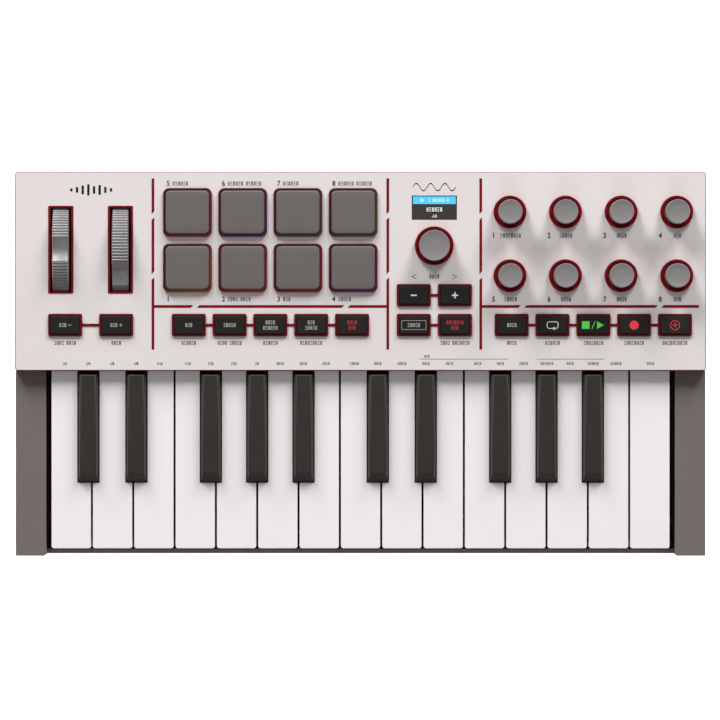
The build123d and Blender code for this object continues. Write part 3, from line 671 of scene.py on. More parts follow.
class Lettering:
    """Labels and figures gathered into one thin printed shape."""

    CAP_SHARE = 0.72
    DEPTH = 0.03 * MM
    GLYPH_WIDTH = 0.46
    GLYPH_PITCH = 0.66
    STROKE = 0.17

    def __init__(self, level: float) -> None:
        """Starts an empty print.

        Args:
            level: Height of the printed surface.
        """
        self.level = level
        self.shape = Shape()

    def figures(self, text: str, x: float, y: float, height: float,
                align: Align = Align.CENTRE) -> None:
        """Prints a number.

        Args:
            text: The number.
            x: Place along the object, in metres.
            y: Middle of the number's height, in metres.
            height: Height of a figure, in metres.
            align: Which part of the number stands at x.
        """
        curve = bpy.data.curves.new("figures", "FONT")
        curve.body = text
        curve.size = height / self.CAP_SHARE
        curve.align_x = align.value
        curve.resolution_u = 3
        curve.extrude = self.DEPTH / 2
        curve.offset = height * 0.034
        holder = bpy.data.objects.new("figures", curve)
        bpy.context.scene.collection.objects.link(holder)
        graph = bpy.context.evaluated_depsgraph_get()
        mesh = bpy.data.meshes.new_from_object(holder.evaluated_get(graph))
        move = Matrix.Translation((x, y - height / 2, self.level + self.DEPTH / 2))
        mesh.transform(move @ Matrix.Diagonal((0.85, 1, 1, 1)))
        self.shape.bm.from_mesh(mesh)
        bpy.data.objects.remove(holder)
        bpy.data.curves.remove(curve)
        bpy.data.meshes.remove(mesh)

    def marks(self, groups: Sequence[int], x: float, y: float, height: float,
              align: Align = Align.CENTRE) -> None:
        """Prints a label of abstract strokes that stands where a word would.

        Args:
            groups: Strokes in each group of the label.
            x: Place along the object, in metres.
            y: Middle of the label's height, in metres.
            height: Height of the strokes, in metres.
            align: Which part of the label stands at x.
        """
        pitch = self.GLYPH_PITCH * height
        places = []
        at = 0.0
        for number, group in enumerate(groups):
            at += pitch * 0.8 if number else 0.0
            for _ in range(group):
                places.append(at)
                at += pitch
        width = at - (self.GLYPH_PITCH - self.GLYPH_WIDTH) * height
        start = x - width * {Align.LEFT: 0.0, Align.CENTRE: 0.5, Align.RIGHT: 1.0}[align]
        for number, place in enumerate(places):
            self.glyph((number * 5 + len(places)) % 3, start + place, y, height)

    def glyph(self, form: int, x: float, y: float, height: float) -> None:
        """Prints one abstract stroke: uprights, a box or stacked bars."""
        wide = self.GLYPH_WIDTH * height
        thick = self.STROKE * height
        low, high = y - height / 2, y + height / 2
        if form == 0:
            self.bar(x, x + thick, low, high)
            self.bar(x + wide - thick, x + wide, low, high)
        elif form == 1:
            middle = (x + wide / 2, y)
            outer = rounded_square(middle, (wide / 2, height / 2), thick * 0.8, 2)
            inner = rounded_square(middle, (wide / 2 - thick, height / 2 - thick), thick * 0.2, 2)
            self.ring(outer, inner)
        else:
            for base in (low, y - thick / 2, high - thick):
                self.bar(x, x + wide, base, base + thick)

    def outline(self, points: Sequence[Point]) -> None:
        """Prints one filled shape."""
        self.shape.prism(points, self.level, self.level + self.DEPTH)

    def ring(self, outer: Sequence[Point], inner: Sequence[Point]) -> None:
        """Prints a frame between two outlines."""
        self.shape.band(outer, inner, self.level, self.level + self.DEPTH)

    def bar(self, x0: float, x1: float, y0: float, y1: float) -> None:
        """Prints a rectangle."""
        self.outline([(x0, y0), (x1, y0), (x1, y1), (x0, y1)])


# ------------------------------------------------------------------ workshop


@dataclass
class Workshop:
    """What every sub-assembly needs: the frame, the finishes and the count of pieces made."""

    frame: dict
    palette: Palette = field(default_factory=Palette)
    count: int = 0

    def mount(self, piece: bpy.types.Object, finish: Finish, body: str, slot: str,
              instead_of: Iterable[str] = ()) -> bpy.types.Object:
        """Finishes one piece and fixes it to its body.

        Args:
            piece: The new object.
            finish: Its finish.
            body: The CAD body it rides on.
            slot: The record's material slot that it belongs to; not used.
            instead_of: CAD nodes that it stands for.

        Returns:
            The same object.
        """
        piece.data.materials.clear()
        piece.data.materials.append(self.palette.get(finish))
        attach(piece, body)
        if instead_of:
            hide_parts(*instead_of)
        self.count += 1
        LOG.info("piece %s on %s", piece.name, body)
        return piece

    def dress(self, node: str, finish: Finish) -> None:
        """Gives a CAD node its finish."""
        data = self.frame["nodes"][node].data
        data.materials.clear()
        data.materials.append(self.palette.get(finish))
        LOG.info("node %s dressed in %s", node, finish.name)

    def eased(self, node: str, name: str, width: float, above: float,
              steps: int = 3) -> bpy.types.Object:
        """Copy of a CAD node's shape with its outer edges rounded.

        Args:
            node: The CAD node.
            name: Name of the piece.
            width: Reach of the rounding from each edge, in metres.
            above: Only edges that lie wholly above this height are rounded.
            steps: Faces across the rounding.

        Returns:
            The new object.
        """
        source = self.frame["nodes"][node]
        shape = Shape()
        shape.bm.from_mesh(source.data)
        shape.bm.transform(source.matrix_world)
        bmesh.ops.remove_doubles(shape.bm, verts=shape.bm.verts, dist=0.001 * MM)
        bmesh.ops.dissolve_limit(shape.bm, angle_limit=math.radians(1), verts=shape.bm.verts,
                                 edges=shape.bm.edges)
        edges = []
        for edge in shape.bm.edges:
            high = min(corner.co.z for corner in edge.verts) > above
            if high and edge.is_convex and edge.calc_face_angle(0) > math.radians(30):
                edges.append(edge)
        made = bmesh.ops.bevel(shape.bm, geom=edges, offset=width, segments=steps, profile=0.5,
                               affect="EDGES", clamp_overlap=True)
        return shape.finish(name, 40, made["faces"])


# ------------------------------------------------------------------ keys


@dataclass
class Keybed:
    """White and black keys, with their edges eased."""

    shop: Workshop
    ease_white: float = 0.45 * MM
    ease_black: float = 0.6 * MM
    white_edges: float = 22 * MM
    black_edges: float = 28 * MM
    # Place of the felt strip of painted shade and painted red reflection at each black key's low
    # rear end.
    felt_front: float = -4.9 * MM
    felt_rear: float = -1.2 * MM
    felt_thick: float = 1.6 * MM
    tail_top: float = 24.95 * MM

    def build(self) -> None:
        """Makes a finished piece for each key."""
        for node in self.shop.frame["nodes"]:
            if node.startswith("white_key"):
                piece = self.shop.eased(node, f"{node}_top", self.ease_white, self.white_edges)
                self.shop.mount(piece, WHITE_KEY, node, "white_plastic", [node])
            elif node.startswith("black_key"):
                piece = self.shop.eased(node, f"{node}_top", self.ease_black, self.black_edges)
                self.shop.mount(piece, BLACK_KEY, node, "black_plastic", [node])
                # felt strip whose dark red is painted shade with a painted red reflection
                self.felt(node)

    def felt(self, node: str) -> None:
        """Makes the felt strip across the low rear end of a black key, under the panel's edge: its
        dark red is painted shade with a painted red reflection, for the shadowed gap there.
        """
        low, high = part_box(node)
        middle = ((low.x + high.x) / 2, (self.felt_front + self.felt_rear) / 2)
        half = ((high.x - low.x) / 2 - 0.5 * MM, (self.felt_rear - self.felt_front) / 2)
        shape = Shape()
        shape.prism(rounded_square(middle, half, 0.3 * MM, 3),
                    self.tail_top, self.tail_top + self.felt_thick)
        self.shop.mount(shape.finish(f"{node}_felt"), FELT_PAINTED_SHADE, node, "crimson_plastic")


# ------------------------------------------------------------------ knobs


@dataclass
class Knob:
    """A turning knob: knurled cap on a crimson skirt with its shaft."""

    shop: Workshop
    node: str
    skirt_radius: float
    cap_radius: float
    teeth: int
    shaft_radius: float = 3.0 * MM
    skirt_height: float = 1.9 * MM
    tooth_depth: float = 0.32 * MM
    dish_floor: float = 0.5 * MM
    taper: float = 0.1 * MM

    def build(self) -> None:
        """Makes the skirt and the cap."""
        low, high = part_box(self.node)
        centre = ((low.x + high.x) / 2, (low.y + high.y) / 2)
        panel = self.skirt_base()
        top = high.z
        self.skirt(centre, low.z, panel)
        self.cap(centre, panel + self.dish_floor, top)

    def skirt_base(self) -> float:
        """Height of the underside of the skirt, just over the faceplate."""
        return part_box("faceplate")[1].z + 0.35 * MM

    def skirt(self, centre: Point, foot: float, base: float) -> None:
        """Makes the skirt, dished down towards the cap, and the shaft below it."""
        radius = self.skirt_radius
        top = base + self.skirt_height
        profile = [
            (self.shaft_radius, foot),
            (self.shaft_radius, base + 0.05 * MM),
            (radius - 0.35 * MM, base),
            (radius - 0.06 * MM, base + 0.12 * MM),
            (radius, base + 0.4 * MM),
            (radius - 0.03 * MM, top - 0.3 * MM),
            (radius - 0.16 * MM, top - 0.08 * MM),
            (radius - 0.4 * MM, top),
            (radius - 0.65 * MM, top - 0.12 * MM),
            (self.cap_radius + 0.1 * MM, base + self.dish_floor),
            (self.cap_radius - 0.9 * MM, base + self.dish_floor),
        ]
        shape = Shape()
        shape.turned(profile, centre, 96)
        piece = shape.finish(f"{self.node}_skirt", 50)
        self.shop.mount(piece, CRIMSON_SHELL, self.node, "crimson_plastic", [self.node])

    def cap(self, centre: Point, base: float, top: float) -> None:
        """Makes the cap, knurled down its side."""
        radius = self.cap_radius
        rim = radius - self.taper
        profile = [
            (radius - 0.8 * MM, base - 0.1 * MM),
            (radius - 0.05 * MM, base),
            (radius, base + 0.3 * MM),
            (radius - self.taper / 2, (base + top) / 2),
            (rim + 0.04 * MM, top - 0.62 * MM),
            (rim + 0.03 * MM, top - 0.3 * MM),
            (rim, top - 0.12 * MM),
            (rim - 0.12 * MM, top),
            (rim - 0.5 * MM, top),
            (rim - 0.62 * MM, top - 0.05 * MM),
            (rim * 0.25, top - 0.06 * MM),
        ]

        def knurl(distance: float, height: float, angle: float) -> float:
            """Radius with the teeth cut into it."""
            if base + 0.2 * MM < height < top - 0.5 * MM:
                wave = abs(math.sin(angle * self.teeth / 2))
                return distance - self.tooth_depth * (1 - wave) ** 1.5
            return distance

        shape = Shape()
        shape.turned(profile, centre, self.teeth * 6, knurl)
        piece = shape.finish(f"{self.node}_cap", 30)
        self.shop.mount(piece, KNOB_GREY, self.node, "knob_plastic")


# ------------------------------------------------------------------ wheels


@dataclass
class Wheel:
    """A thumb wheel: ribbed rim with a smooth dip, on a hub with stub axles."""

    shop: Workshop
    node: str
    turn: float
    radius: float = 25.0 * MM
    width: float = 7.5 * MM
    reach: float = math.radians(78.4)
    rib_pitch: float = 1.42 * MM
    rib_depth: float = 0.42 * MM
    dip_half: float = 5.5 * MM
    dip_depth: float = 2.4 * MM
    hub_radius: float = 6.5 * MM
    axle_radius: float = 2.0 * MM
    edge: float = 0.55 * MM
    plain_end: float = 0.0

    def joint(self) -> dict:
        """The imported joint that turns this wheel."""
        for joint in self.shop.frame["joints"]:
            if joint["child"] == self.node:
                return joint
        raise KeyError(self.node)

    def rim_radius(self, angle: float) -> float:
        """Radius of the rim at an angle from the middle of the wheel's face."""
        along = angle * self.radius
        if -self.dip_half - self.plain_end < along <= -self.dip_half:
            return self.radius
        if abs(along) < self.dip_half:
            share = along / self.dip_half
            return self.radius - self.dip_depth * (1 - share * share)
        wave = 0.5 - 0.5 * math.cos(math.tau * (abs(along) - self.dip_half) / self.rib_pitch)
        return self.radius - self.rib_depth * (1 - wave) ** 2

    def build(self) -> None:
        """Makes the wheel."""
        centre = Vector(self.joint()["pos_m"])
        steps = 420
        shape = Shape()
        loops = []
        for step in range(steps + 1):
            angle = self.reach * (2 * step / steps - 1)
            outer = self.rim_radius(angle)
            half = self.width / 2
            inner = self.hub_radius - 0.5 * MM
            shoulder = self.edge * 0.3
            section = [
                (-half, inner), (-half, outer - self.edge),
                (-half + shoulder, outer - shoulder), (-half + self.edge, outer),
                (half - self.edge, outer), (half - shoulder, outer - shoulder),
                (half, outer - self.edge), (half, inner),
            ]
            loops.append([self.at(centre, x, r, angle) for x, r in section])
        shape.rings(loops)
        self.drum(shape, centre, self.hub_radius, self.width / 2)
        self.drum(shape, centre, self.axle_radius, 8.55 * MM)
        piece = shape.finish(f"{self.node}_rim", 50)
        self.shop.mount(piece, WHEEL_GREY, self.node, "wheel_plastic", [self.node])

    def at(self, centre: Vector, x: float, distance: float, angle: float) -> Vector:
        """Point of the wheel, turned to its place at rest."""
        tilt = angle - self.turn
        return centre + Vector((x, distance * math.sin(tilt), distance * math.cos(tilt)))

    def drum(self, shape: Shape, centre: Vector, radius: float, half: float) -> None:
        """Adds a short cylinder about the axle."""
        sides, chamfer = 48, 0.3 * MM
        section = ((-half, radius - chamfer), (-half + chamfer, radius),
                   (half - chamfer, radius), (half, radius - chamfer))
        loops = []
        for x, r in section:
            loops.append([self.at(centre, x, r, math.tau * step / sides) for step in range(sides)])
        shape.rings(loops)


# ------------------------------------------------------------------ pads


@dataclass
class PadField:
    """Eight silicone pads on one sheet, and the lit rims round them."""

    shop: Workshop
    columns: tuple[float, ...] = (-79.6 * MM, -54.2 * MM, -28.8 * MM, -3.4 * MM)
    rows: tuple[float, ...] = (69.6 * MM, 44.1 * MM)
    half: float = 10.0 * MM
    corner: float = 2.2 * MM
    rim_outer: float = 11.23 * MM
    rim_inner: float = 10.16 * MM
    rim_top: float = 33.36 * MM
    web_top: float = 23.8 * MM
    glows: tuple[Colour, ...] = (
        srgb(150, 12, 84), srgb(70, 14, 140), srgb(10, 92, 96), srgb(30, 110, 40),
        srgb(165, 92, 12), srgb(170, 52, 8), srgb(165, 12, 22), srgb(120, 14, 100),
    )

    def build(self) -> None:
        """Makes the sheet with its pads, and the rims."""
        low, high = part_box("pad_sheet")
        shape = Shape()
        middle = ((low.x + high.x) / 2, (low.y + high.y) / 2)
        size = ((high.x - low.x) / 2, (high.y - low.y) / 2)
        shape.prism(rounded_square(middle, size, 1.5 * MM), low.z, self.web_top)
        number = 0
        for y in self.rows:
            for x in self.columns:
                self.pad(shape, (x, y), high.z)
                self.rim(number, (x, y))
                number += 1
        piece = shape.finish("pad_moulding", 50)
        self.shop.mount(piece, PAD_SILICONE, "case", "pad_silicone", ["pad_sheet"])

    def pad(self, shape: Shape, centre: Point, top: float) -> None:
        """Adds one pad with a rounded edge and a slightly crowned face."""
        crown = 0.1 * MM
        edge = top - crown
        profile = [
            (0.0, self.web_top - 0.3 * MM), (0.0, edge - 1.0 * MM), (0.05 * MM, edge - 0.55 * MM),
            (0.2 * MM, edge - 0.22 * MM), (0.42 * MM, edge - 0.05 * MM), (0.7 * MM, edge),
            (3.0 * MM, edge + crown * 0.5), (6.0 * MM, edge + crown * 0.9), (8.5 * MM, top),
        ]
        loops = []
        for inset, height in profile:
            half = self.half - inset
            radius = max(self.corner - inset * 0.2, 0.2 * MM)
            radius = min(radius, half * 0.9)
            outline = rounded_square(centre, (half, half), radius, 8)
            loops.append([Vector((x, y, height)) for x, y in outline])
        shape.rings(loops)

    def rim(self, number: int, centre: Point) -> None:
        """Makes the lit rim round one pad."""
        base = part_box("faceplate")[1].z - 0.6 * MM
        top = self.rim_top
        outer = self.rim_outer
        section = [
            (outer, base), (outer, top - 0.4 * MM), (outer - 0.12 * MM, top - 0.12 * MM),
            (outer - 0.4 * MM, top), (self.rim_inner + 0.2 * MM, top),
            (self.rim_inner, top - 0.2 * MM), (self.rim_inner, base),
        ]
        loops = []
        for half, height in section:
            radius = 2.8 * MM - (outer - half)
            outline = rounded_square(centre, (half, half), radius, 8)
            loops.append([Vector((x, y, height)) for x, y in outline])
        shape = Shape()
        shape.rings(loops, closed=True)
        piece = shape.finish(f"pad_rim_{number + 1}", 50)
        finish = Glowing(f"pad_rim_glow_{number + 1}", srgb(70, 10, 20), roughness=0.35,
                         grain=0.5 * MM, relief=0.006 * MM, mottle=0.06, wear=0.1,
                         glow=self.glows[number], centre=centre, half=outer)
        self.shop.mount(piece, finish, "case", "crimson_plastic")


# ------------------------------------------------------------------ buttons


Draw = Callable[[Lettering, Point], None]


def label(*lines: int, height: float = 1.75 * MM, pitch: float = 2.5 * MM) -> Draw:
    """Mark of centred lines of abstract strokes, given the number of strokes in each line."""

    def draw(print_: Lettering, centre: Point) -> None:
        """Prints the lines."""
        start = centre[1] + pitch * (len(lines) - 1) / 2
        for number, line in enumerate(lines):
            print_.marks((line,), centre[0], start - number * pitch, height)

    return draw


def octave_mark(sign: int) -> Draw:
    """Label with a minus or plus sign after it."""

    def draw(print_: Lettering, centre: Point) -> None:
        """Prints the label and the sign."""
        x, y = centre
        print_.marks((3,), x - 1.0 * MM, y, 1.75 * MM)
        arm, half = 0.75 * MM, 0.15 * MM
        hub = x + 2.2 * MM
        print_.bar(hub - arm, hub + arm, y - half, y + half)
        if sign > 0:
            print_.bar(hub - half, hub + half, y + half, y + arm)
            print_.bar(hub - half, hub + half, y - arm, y - half)

    return draw


def minus_mark(print_: Lettering, centre: Point) -> None:
    """Prints a minus sign."""
    x, y = centre
    print_.bar(x - 1.4 * MM, x + 1.4 * MM, y - 0.32 * MM, y + 0.32 * MM)


def plus_mark(print_: Lettering, centre: Point) -> None:
    """Prints a plus sign as one outline."""
    x, y = centre
    arm, half = 1.45 * MM, 0.32 * MM
    turns = [(arm, half), (half, half), (half, arm), (-half, arm), (-half, half), (-arm, half),
             (-arm, -half), (-half, -half), (-half, -arm), (half, -arm), (half, -half),
             (arm, -half)]
    print_.outline([(x + dx, y + dy) for dx, dy in turns])


def shift_mark(print_: Lettering, centre: Point) -> None:
    """Prints a label in a thin frame."""
    outer = rounded_square(centre, (5.7 * MM, 2.15 * MM), 0.4 * MM)
    inner = rounded_square(centre, (5.5 * MM, 1.95 * MM), 0.25 * MM)
    print_.ring(outer, inner)
    print_.marks((5,), centre[0], centre[1], 1.8 * MM)


def loop_mark(print_: Lettering, centre: Point) -> None:
    """Prints a loop with an arrow head on it."""
    outer = rounded_square(centre, (2.7 * MM, 1.7 * MM), 1.2 * MM)
    inner = rounded_square(centre, (2.35 * MM, 1.35 * MM), 0.85 * MM)
    print_.ring(outer, inner)
    x, y = centre[0] + 0.4 * MM, centre[1] - 1.52 * MM
    back, side, tip = 0.7 * MM, 0.85 * MM, 0.8 * MM
    print_.outline([(x + back, y + side), (x - tip, y), (x + back, y - side)])


def play_mark(print_: Lettering, centre: Point) -> None:
    """Prints the stop square and the play triangle."""
    x, y = centre
    size = 1.75 * MM
    print_.bar(x - 5.3 * MM, x - 5.3 * MM + 2 * size, y - size, y + size)
    start = x + 1.6 * MM
    print_.outline([(start, y - size), (start + 3.2 * MM, y), (start, y + size)])
    print_.outline([(x - 0.95 * MM, y - size), (x - 0.55 * MM, y - size), (x + 0.95 * MM, y + size),
                    (x + 0.55 * MM, y + size)])


def record_mark(print_: Lettering, centre: Point) -> None:
    """Prints the record dot."""
    print_.outline(circle(centre, 2.1 * MM))


def overdub_mark(print_: Lettering, centre: Point) -> None:
    """Prints a plus sign in a ring."""
    print_.ring(circle(centre, 2.25 * MM), circle(centre, 1.95 * MM))
    x, y = centre
    arm, half = 1.25 * MM, 0.17 * MM
    print_.bar(x - arm, x + arm, y - half, y + half)
    print_.bar(x - half, x + half, y + half, y + arm)
    print_.bar(x - half, x + half, y - arm, y - half)


@dataclass
class ButtonSet:
    """Push buttons with their printed marks."""

    shop: Workshop
    ease: float = 0.35 * MM
    edges: float = 33.2 * MM
    marks: dict[str, tuple[Draw, MarkTone]] = field(default_factory=lambda: {
        "octave_down_button": (octave_mark(-1), MarkTone.PALE_LABEL),
        "octave_up_button": (octave_mark(1), MarkTone.PALE_LABEL),
        "arpeggiator_button": (label(3), MarkTone.PALE_LABEL),
        "latch_button": (label(5), MarkTone.PALE_LABEL),
        "note_repeat_button": (label(4, 6), MarkTone.PALE_LABEL),
        "tempo_button": (label(3, 5), MarkTone.PALE_LABEL),
        "bank_button": (label(4, 3), MarkTone.RED_LABEL),
        "minus_button": (minus_mark, MarkTone.WHITE),
        "plus_button": (plus_mark, MarkTone.WHITE),
        "shift_button": (shift_mark, MarkTone.PALE_LABEL),
        "mode_button": (label(7, 3), MarkTone.RED_LABEL),
        "undo_button": (label(4), MarkTone.PALE_LABEL),
        "loop_button": (loop_mark, MarkTone.WHITE),
        "play_button": (play_mark, MarkTone.GREEN),
        "record_button": (record_mark, MarkTone.RED),
        "overdub_button": (overdub_mark, MarkTone.RED),
    })

    def build(self) -> None:
        """Makes each button's cap and mark."""
        for node, (draw, tone) in self.marks.items():
            piece = self.shop.eased(node, f"{node}_cap", self.ease, self.edges)
            self.shop.mount(piece, BUTTON_BLACK, node, "button_plastic", [node])
            low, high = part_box(node)
            print_ = Lettering(high.z)
            draw(print_, ((low.x + high.x) / 2, (low.y + high.y) / 2))
            mark = print_.shape.finish(f"{node}_mark")
            self.shop.mount(mark, tone.finish(), node, "button_plastic")


# ------------------------------------------------------------------ panel


@dataclass
class Panel:
    """Faceplate print and the display."""

    shop: Workshop
    screen_centre: Point = (33.95 * MM, 71.8 * MM)
    screen_half: Point = (10.3 * MM, 5.5 * MM)
    header_height: float = 3.7 * MM

    def build(self) -> None:
        """Prints the legends and makes the display."""
        self.shop.dress("faceplate", PANEL_PAINT)
        # the crimson case carries painted shade on the tops of its button rims
        self.shop.dress("top_case", CRIMSON_SHADED_RIMS)
        self.legends()
        self.display()

    def legends(self) -> None:
        """Prints all labels and figures of the faceplate."""
        print_ = Lettering(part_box("faceplate")[1].z)
        self.pad_legends(print_)
        self.knob_legends(print_)
        self.button_legends(print_)
        self.key_legends(print_)
        self.emblems(print_)
        piece = print_.shape.finish("panel_legends")
        self.shop.mount(piece, INK, "case", "pale_panel")

    def pad_legends(self, print_: Lettering) -> None:
        """Numbers the pads, with a label beside each number."""
        groups = {5: (6,), 6: (6, 6), 7: (6,), 8: (6, 6), 1: (), 2: (4, 4), 3: (3,), 4: (5,)}
        for number, group in groups.items():
            column = PadField(self.shop).columns[(number - 1) % 4]
            y = 83.1 * MM if number > 4 else 29.9 * MM
            x = column - 9.6 * MM
            print_.figures(str(number), x, y, 2.4 * MM, Align.LEFT)
            print_.marks(group, x + 2.8 * MM, y - 0.15 * MM, 1.85 * MM, Align.LEFT)

    def knob_legends(self, print_: Lettering) -> None:
        """Numbers the knobs, with a label under each."""
        for number, group in enumerate((8, 5, 4, 3, 5, 4, 4, 3), 1):
            low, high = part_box(f"knob_{number}")
            x = (low.x + high.x) / 2
            y = (low.y + high.y) / 2 - 10.7 * MM
            print_.figures(str(number), x - 7.5 * MM, y, 2.4 * MM)
            print_.marks((group,), x + 0.3 * MM, y - 0.1 * MM, 1.85 * MM)

    def button_legends(self, print_: Lettering) -> None:
        """Prints a label under each button, and the arrows over the minus and plus buttons."""
        under = {
            "octave_down_button": (4, 4), "octave_up_button": (4,), "arpeggiator_button": (6,),
            "latch_button": (4, 5), "note_repeat_button": (6,), "tempo_button": (9,),
            "mode_button": (4, 7), "undo_button": (4,), "loop_button": (6,),
            "play_button": (8,), "record_button": (8,), "overdub_button": (10,),
        }
        for node, group in under.items():
            low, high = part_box(node)
            print_.marks(group, (low.x + high.x) / 2, 9.6 * MM, 1.75 * MM)
        y = 40.1 * MM
        print_.marks((4,), 33.9 * MM, y, 1.8 * MM)
        for sign in (-1, 1):
            tip = 33.9 * MM + sign * 10.6 * MM
            back = tip - sign * 2.4 * MM
            thick = 0.16 * MM
            for side in (-1, 1):
                rise = side * 1.2 * MM
                print_.outline([(tip, y), (back, y + rise), (back, y + rise - side * 2 * thick),
                                (tip - sign * 3 * thick, y)])

    def key_places(self) -> list[float]:
        """Where the label of each key stands, which is the middle of its rear end."""
        blacks, whites = [], []
        for node in self.shop.frame["nodes"]:
            if node.startswith(("white_key", "black_key")):
                low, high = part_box(node)
                (blacks if node.startswith("black_key") else whites).append((low.x, high.x))
        places = [(low + high) / 2 for low, high in blacks]
        for low, high in whites:
            left = max([low] + [end for start, end in blacks if start < low < end])
            right = min([high] + [start for start, end in blacks if start < high < end])
            places.append((left + right) / 2)
        return sorted(places)

    def key_legends(self, print_: Lettering) -> None:
        """Prints a small label for each key along the panel's front edge."""
        fractions = ["1/4", "1/4", "1/8", "1/8", "1/16", "1/16", "1/32", "1/32"]
        groups = (2, 4, 4, 4, 5, 4, 5, 4, 4, 4, 4, 5, 7, 4, 6, 6, 4)
        places = self.key_places()
        for x, text in zip(places, fractions):
            print_.figures(text, x, 0.1 * MM, 1.35 * MM)
        for x, group in zip(places[len(fractions):], groups):
            print_.marks((group,), x, 0.1 * MM, 1.3 * MM)
        for x0, x1 in ((27 * MM, 68 * MM), (81 * MM, 112 * MM)):
            print_.bar(x0, x1, 2.05 * MM, 2.25 * MM)
        print_.marks((3,), 30.5 * MM, 3.4 * MM, 1.3 * MM)

    def emblems(self, print_: Lettering) -> None:
        """Prints a level-meter emblem over the wheels and a plain wave over the display."""
        for number, height in enumerate((1.4, 2.6, 4.0, 5.2, 3.4, 4.6, 2.8, 1.6)):
            x = -133.0 * MM + number * 2.6 * MM
            half = height * MM / 2
            print_.outline(rounded_square((x, 80.0 * MM), (0.55 * MM, half), 0.3 * MM, 3))
        steps = 60
        upper, lower = [], []
        for step in range(steps + 1):
            x = 24.0 * MM + 19.8 * MM * step / steps
            y = 81.3 * MM + 1.7 * MM * math.sin(math.tau * 3 * step / steps)
            upper.append((x, y + 0.28 * MM))
            lower.append((x, y - 0.28 * MM))
        print_.outline(upper + lower[::-1])

    def display(self) -> None:
        """Makes the screen with its header strip and its figures."""
        x, y = self.screen_centre
        half_w, half_d = self.screen_half
        level = 31.8 * MM
        shape = Shape()
        shape.prism(rounded_square((x, y), (half_w, half_d), 0.3 * MM), level, level + 0.04 * MM)
        self.shop.mount(shape.finish("screen_field"), SCREEN_DARK, "case", "button_plastic")
        strip = Shape()
        top = y + half_d - 0.35 * MM
        strip_centre = (x, top - self.header_height / 2 + 0.15 * MM)
        strip_half = (half_w - 0.45 * MM, self.header_height / 2 - 0.1 * MM)
        strip.prism(rounded_square(strip_centre, strip_half, 0.15 * MM),
                    level + 0.03 * MM, level + 0.06 * MM)
        self.shop.mount(strip.finish("screen_header_strip"), SCREEN_HEADER,
                        "case", "button_plastic")
        print_ = Lettering(level + 0.05 * MM)
        print_.figures("01", x - 5.6 * MM, strip_centre[1], 1.6 * MM)
        print_.marks((1, 6, 1), x + 2.0 * MM, strip_centre[1], 1.5 * MM)
        print_.marks((6,), x, y - 0.8 * MM, 1.9 * MM)
        print_.figures("-3.0", x, y - 3.8 * MM, 1.3 * MM)
        self.shop.mount(print_.shape.finish("screen_figures"), SCREEN_TEXT,
                        "case", "button_plastic")


# ------------------------------------------------------------------ case and inside


@dataclass
class Chassis:
    """Case shells, feet, screws and inner parts, which keep their CAD shapes."""

    shop: Workshop
    finishes: dict[str, Finish] = field(default_factory=lambda: {
        "bottom_case": CASE_GREY,
        "rubber_feet": FOOT_RUBBER,
        "case_screws": ZINC,
        "key_chassis": CHASSIS,
        "control_board": BOARD,
    })

    def build(self) -> None:
        """Dresses each node."""
        for node, finish in self.finishes.items():
            self.shop.dress(node, finish)


# ------------------------------------------------------------------ stage


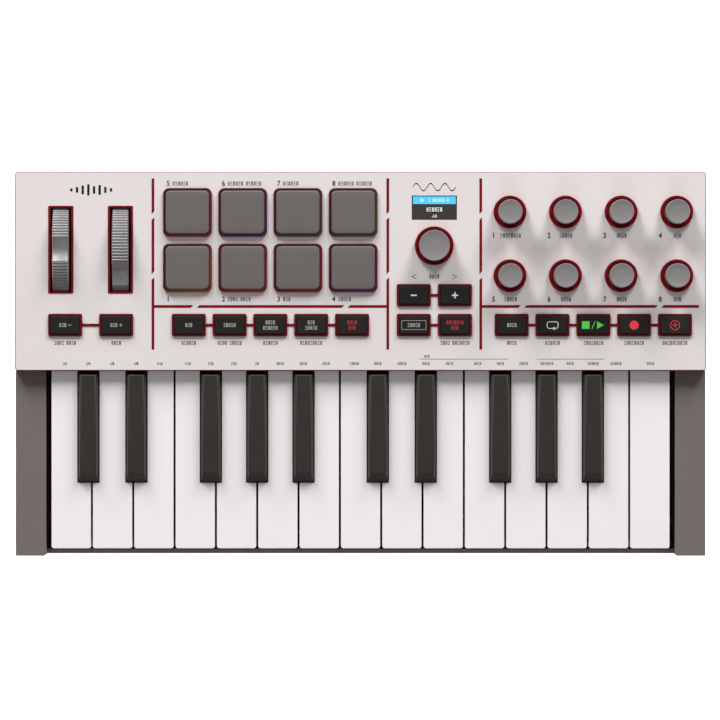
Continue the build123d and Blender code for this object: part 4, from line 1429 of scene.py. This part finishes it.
@dataclass
class Stage:
    """Floor, lights and camera."""

    height: float = 2.7
    view_width: float = 331.2 * MM
    sensor: float = 36.0
    look: Point = (-0.25 * MM, 1.75 * MM)
    floor_colour: Colour = (0.93, 0.93, 0.93)
    floor_cloud: Colour = (0.9, 0.9, 0.9)
    floor_half: float = 40.0
    air_colour: Colour = (1.0, 0.985, 0.98)
    air_strength: float = 0.14

    def build(self) -> None:
        """Makes everything that isn't the object."""
        self.floor()
        self.world()
        self.lamp("rear_left", (-1.1, 2.25, 1.2), (0.8, 1.5), 69.5)
        self.lamp("rear_right", (1.1, 2.25, 1.15), (0.8, 1.5), 61.0)
        self.lamp("overhead", (-0.3, 0.1, 2.3), (2.0, 2.0), 2.0)
        self.lamp("front_fill", (0.0, -1.7, 1.9), (1.2, 0.8), 8.5)
        self.camera()

    def floor(self) -> None:
        """Makes the pale floor."""
        shape = Shape()
        corners = rounded_square((0.0, 0.0), (self.floor_half, self.floor_half), 1.0, 1)
        shape.bm.faces.new([shape.bm.verts.new((x, y, 0.0)) for x, y in corners])
        floor = shape.finish("floor")
        graph = Graph("floor_paper")
        tone = graph.blend(graph.noise(0.6, 2.0), self.floor_colour, self.floor_cloud)
        graph.surface(Base_Color=tone, Roughness=0.9, Emission_Color=(1.0, 1.0, 1.0),
                      Emission_Strength=1.0)
        floor.data.materials.append(graph.material)

    def world(self) -> None:
        """Sets the even light from all round."""
        world = bpy.data.worlds.new("studio")
        world.use_nodes = True
        background = world.node_tree.nodes["Background"]
        background.inputs["Color"].default_value = (*self.air_colour, 1.0)
        background.inputs["Strength"].default_value = self.air_strength
        bpy.context.scene.world = world
        bpy.context.scene.view_settings.view_transform = "Standard"

    def lamp(self, name: str, place: Sequence[float], size: Point, power: float) -> None:
        """Adds a soft lamp aimed at the object.

        Args:
            name: Name of the lamp.
            place: Where it hangs, in metres.
            size: Its width and height, in metres.
            power: Its power, in watts.
        """
        data = bpy.data.lights.new(name, "AREA")
        data.shape = "RECTANGLE"
        data.size, data.size_y = size
        data.energy = power
        lamp = bpy.data.objects.new(name, data)
        lamp.location = place
        lamp.rotation_mode = "QUATERNION"
        lamp.rotation_quaternion = (-Vector(place)).to_track_quat("-Z", "Y")
        bpy.context.scene.collection.objects.link(lamp)

    def camera(self) -> None:
        """Hangs the camera straight over the object, with a long lens."""
        data = bpy.data.cameras.new("camera")
        data.sensor_width = self.sensor
        data.lens = self.sensor * self.height / self.view_width
        data.clip_end = 20.0
        camera = bpy.data.objects.new("camera", data)
        camera.location = (*self.look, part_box("faceplate")[1].z + self.height)
        bpy.context.scene.collection.objects.link(camera)
        bpy.context.scene.camera = camera


# ------------------------------------------------------------------ main


def main() -> None:
    """Builds the finished object round its frame."""
    logging.basicConfig(level=logging.INFO, format="%(name)s: %(message)s")
    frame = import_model()
    shop = Workshop(frame)
    Stage().build()
    Chassis(shop).build()
    Panel(shop).build()
    Keybed(shop).build()
    ButtonSet(shop).build()
    PadField(shop).build()
    for number in range(1, 9):
        Knob(shop, f"knob_{number}", 7.6 * MM, 5.6 * MM, 36).build()
    Knob(shop, "data_dial", 8.95 * MM, 7.1 * MM, 46).build()
    Wheel(shop, "bend_wheel", 0.0).build()
    Wheel(shop, "mod_wheel", math.radians(27), dip_half=6.0 * MM, plain_end=4.0 * MM).build()
    LOG.info("%d pieces made", shop.count)


if __name__ == "__main__":
    main()
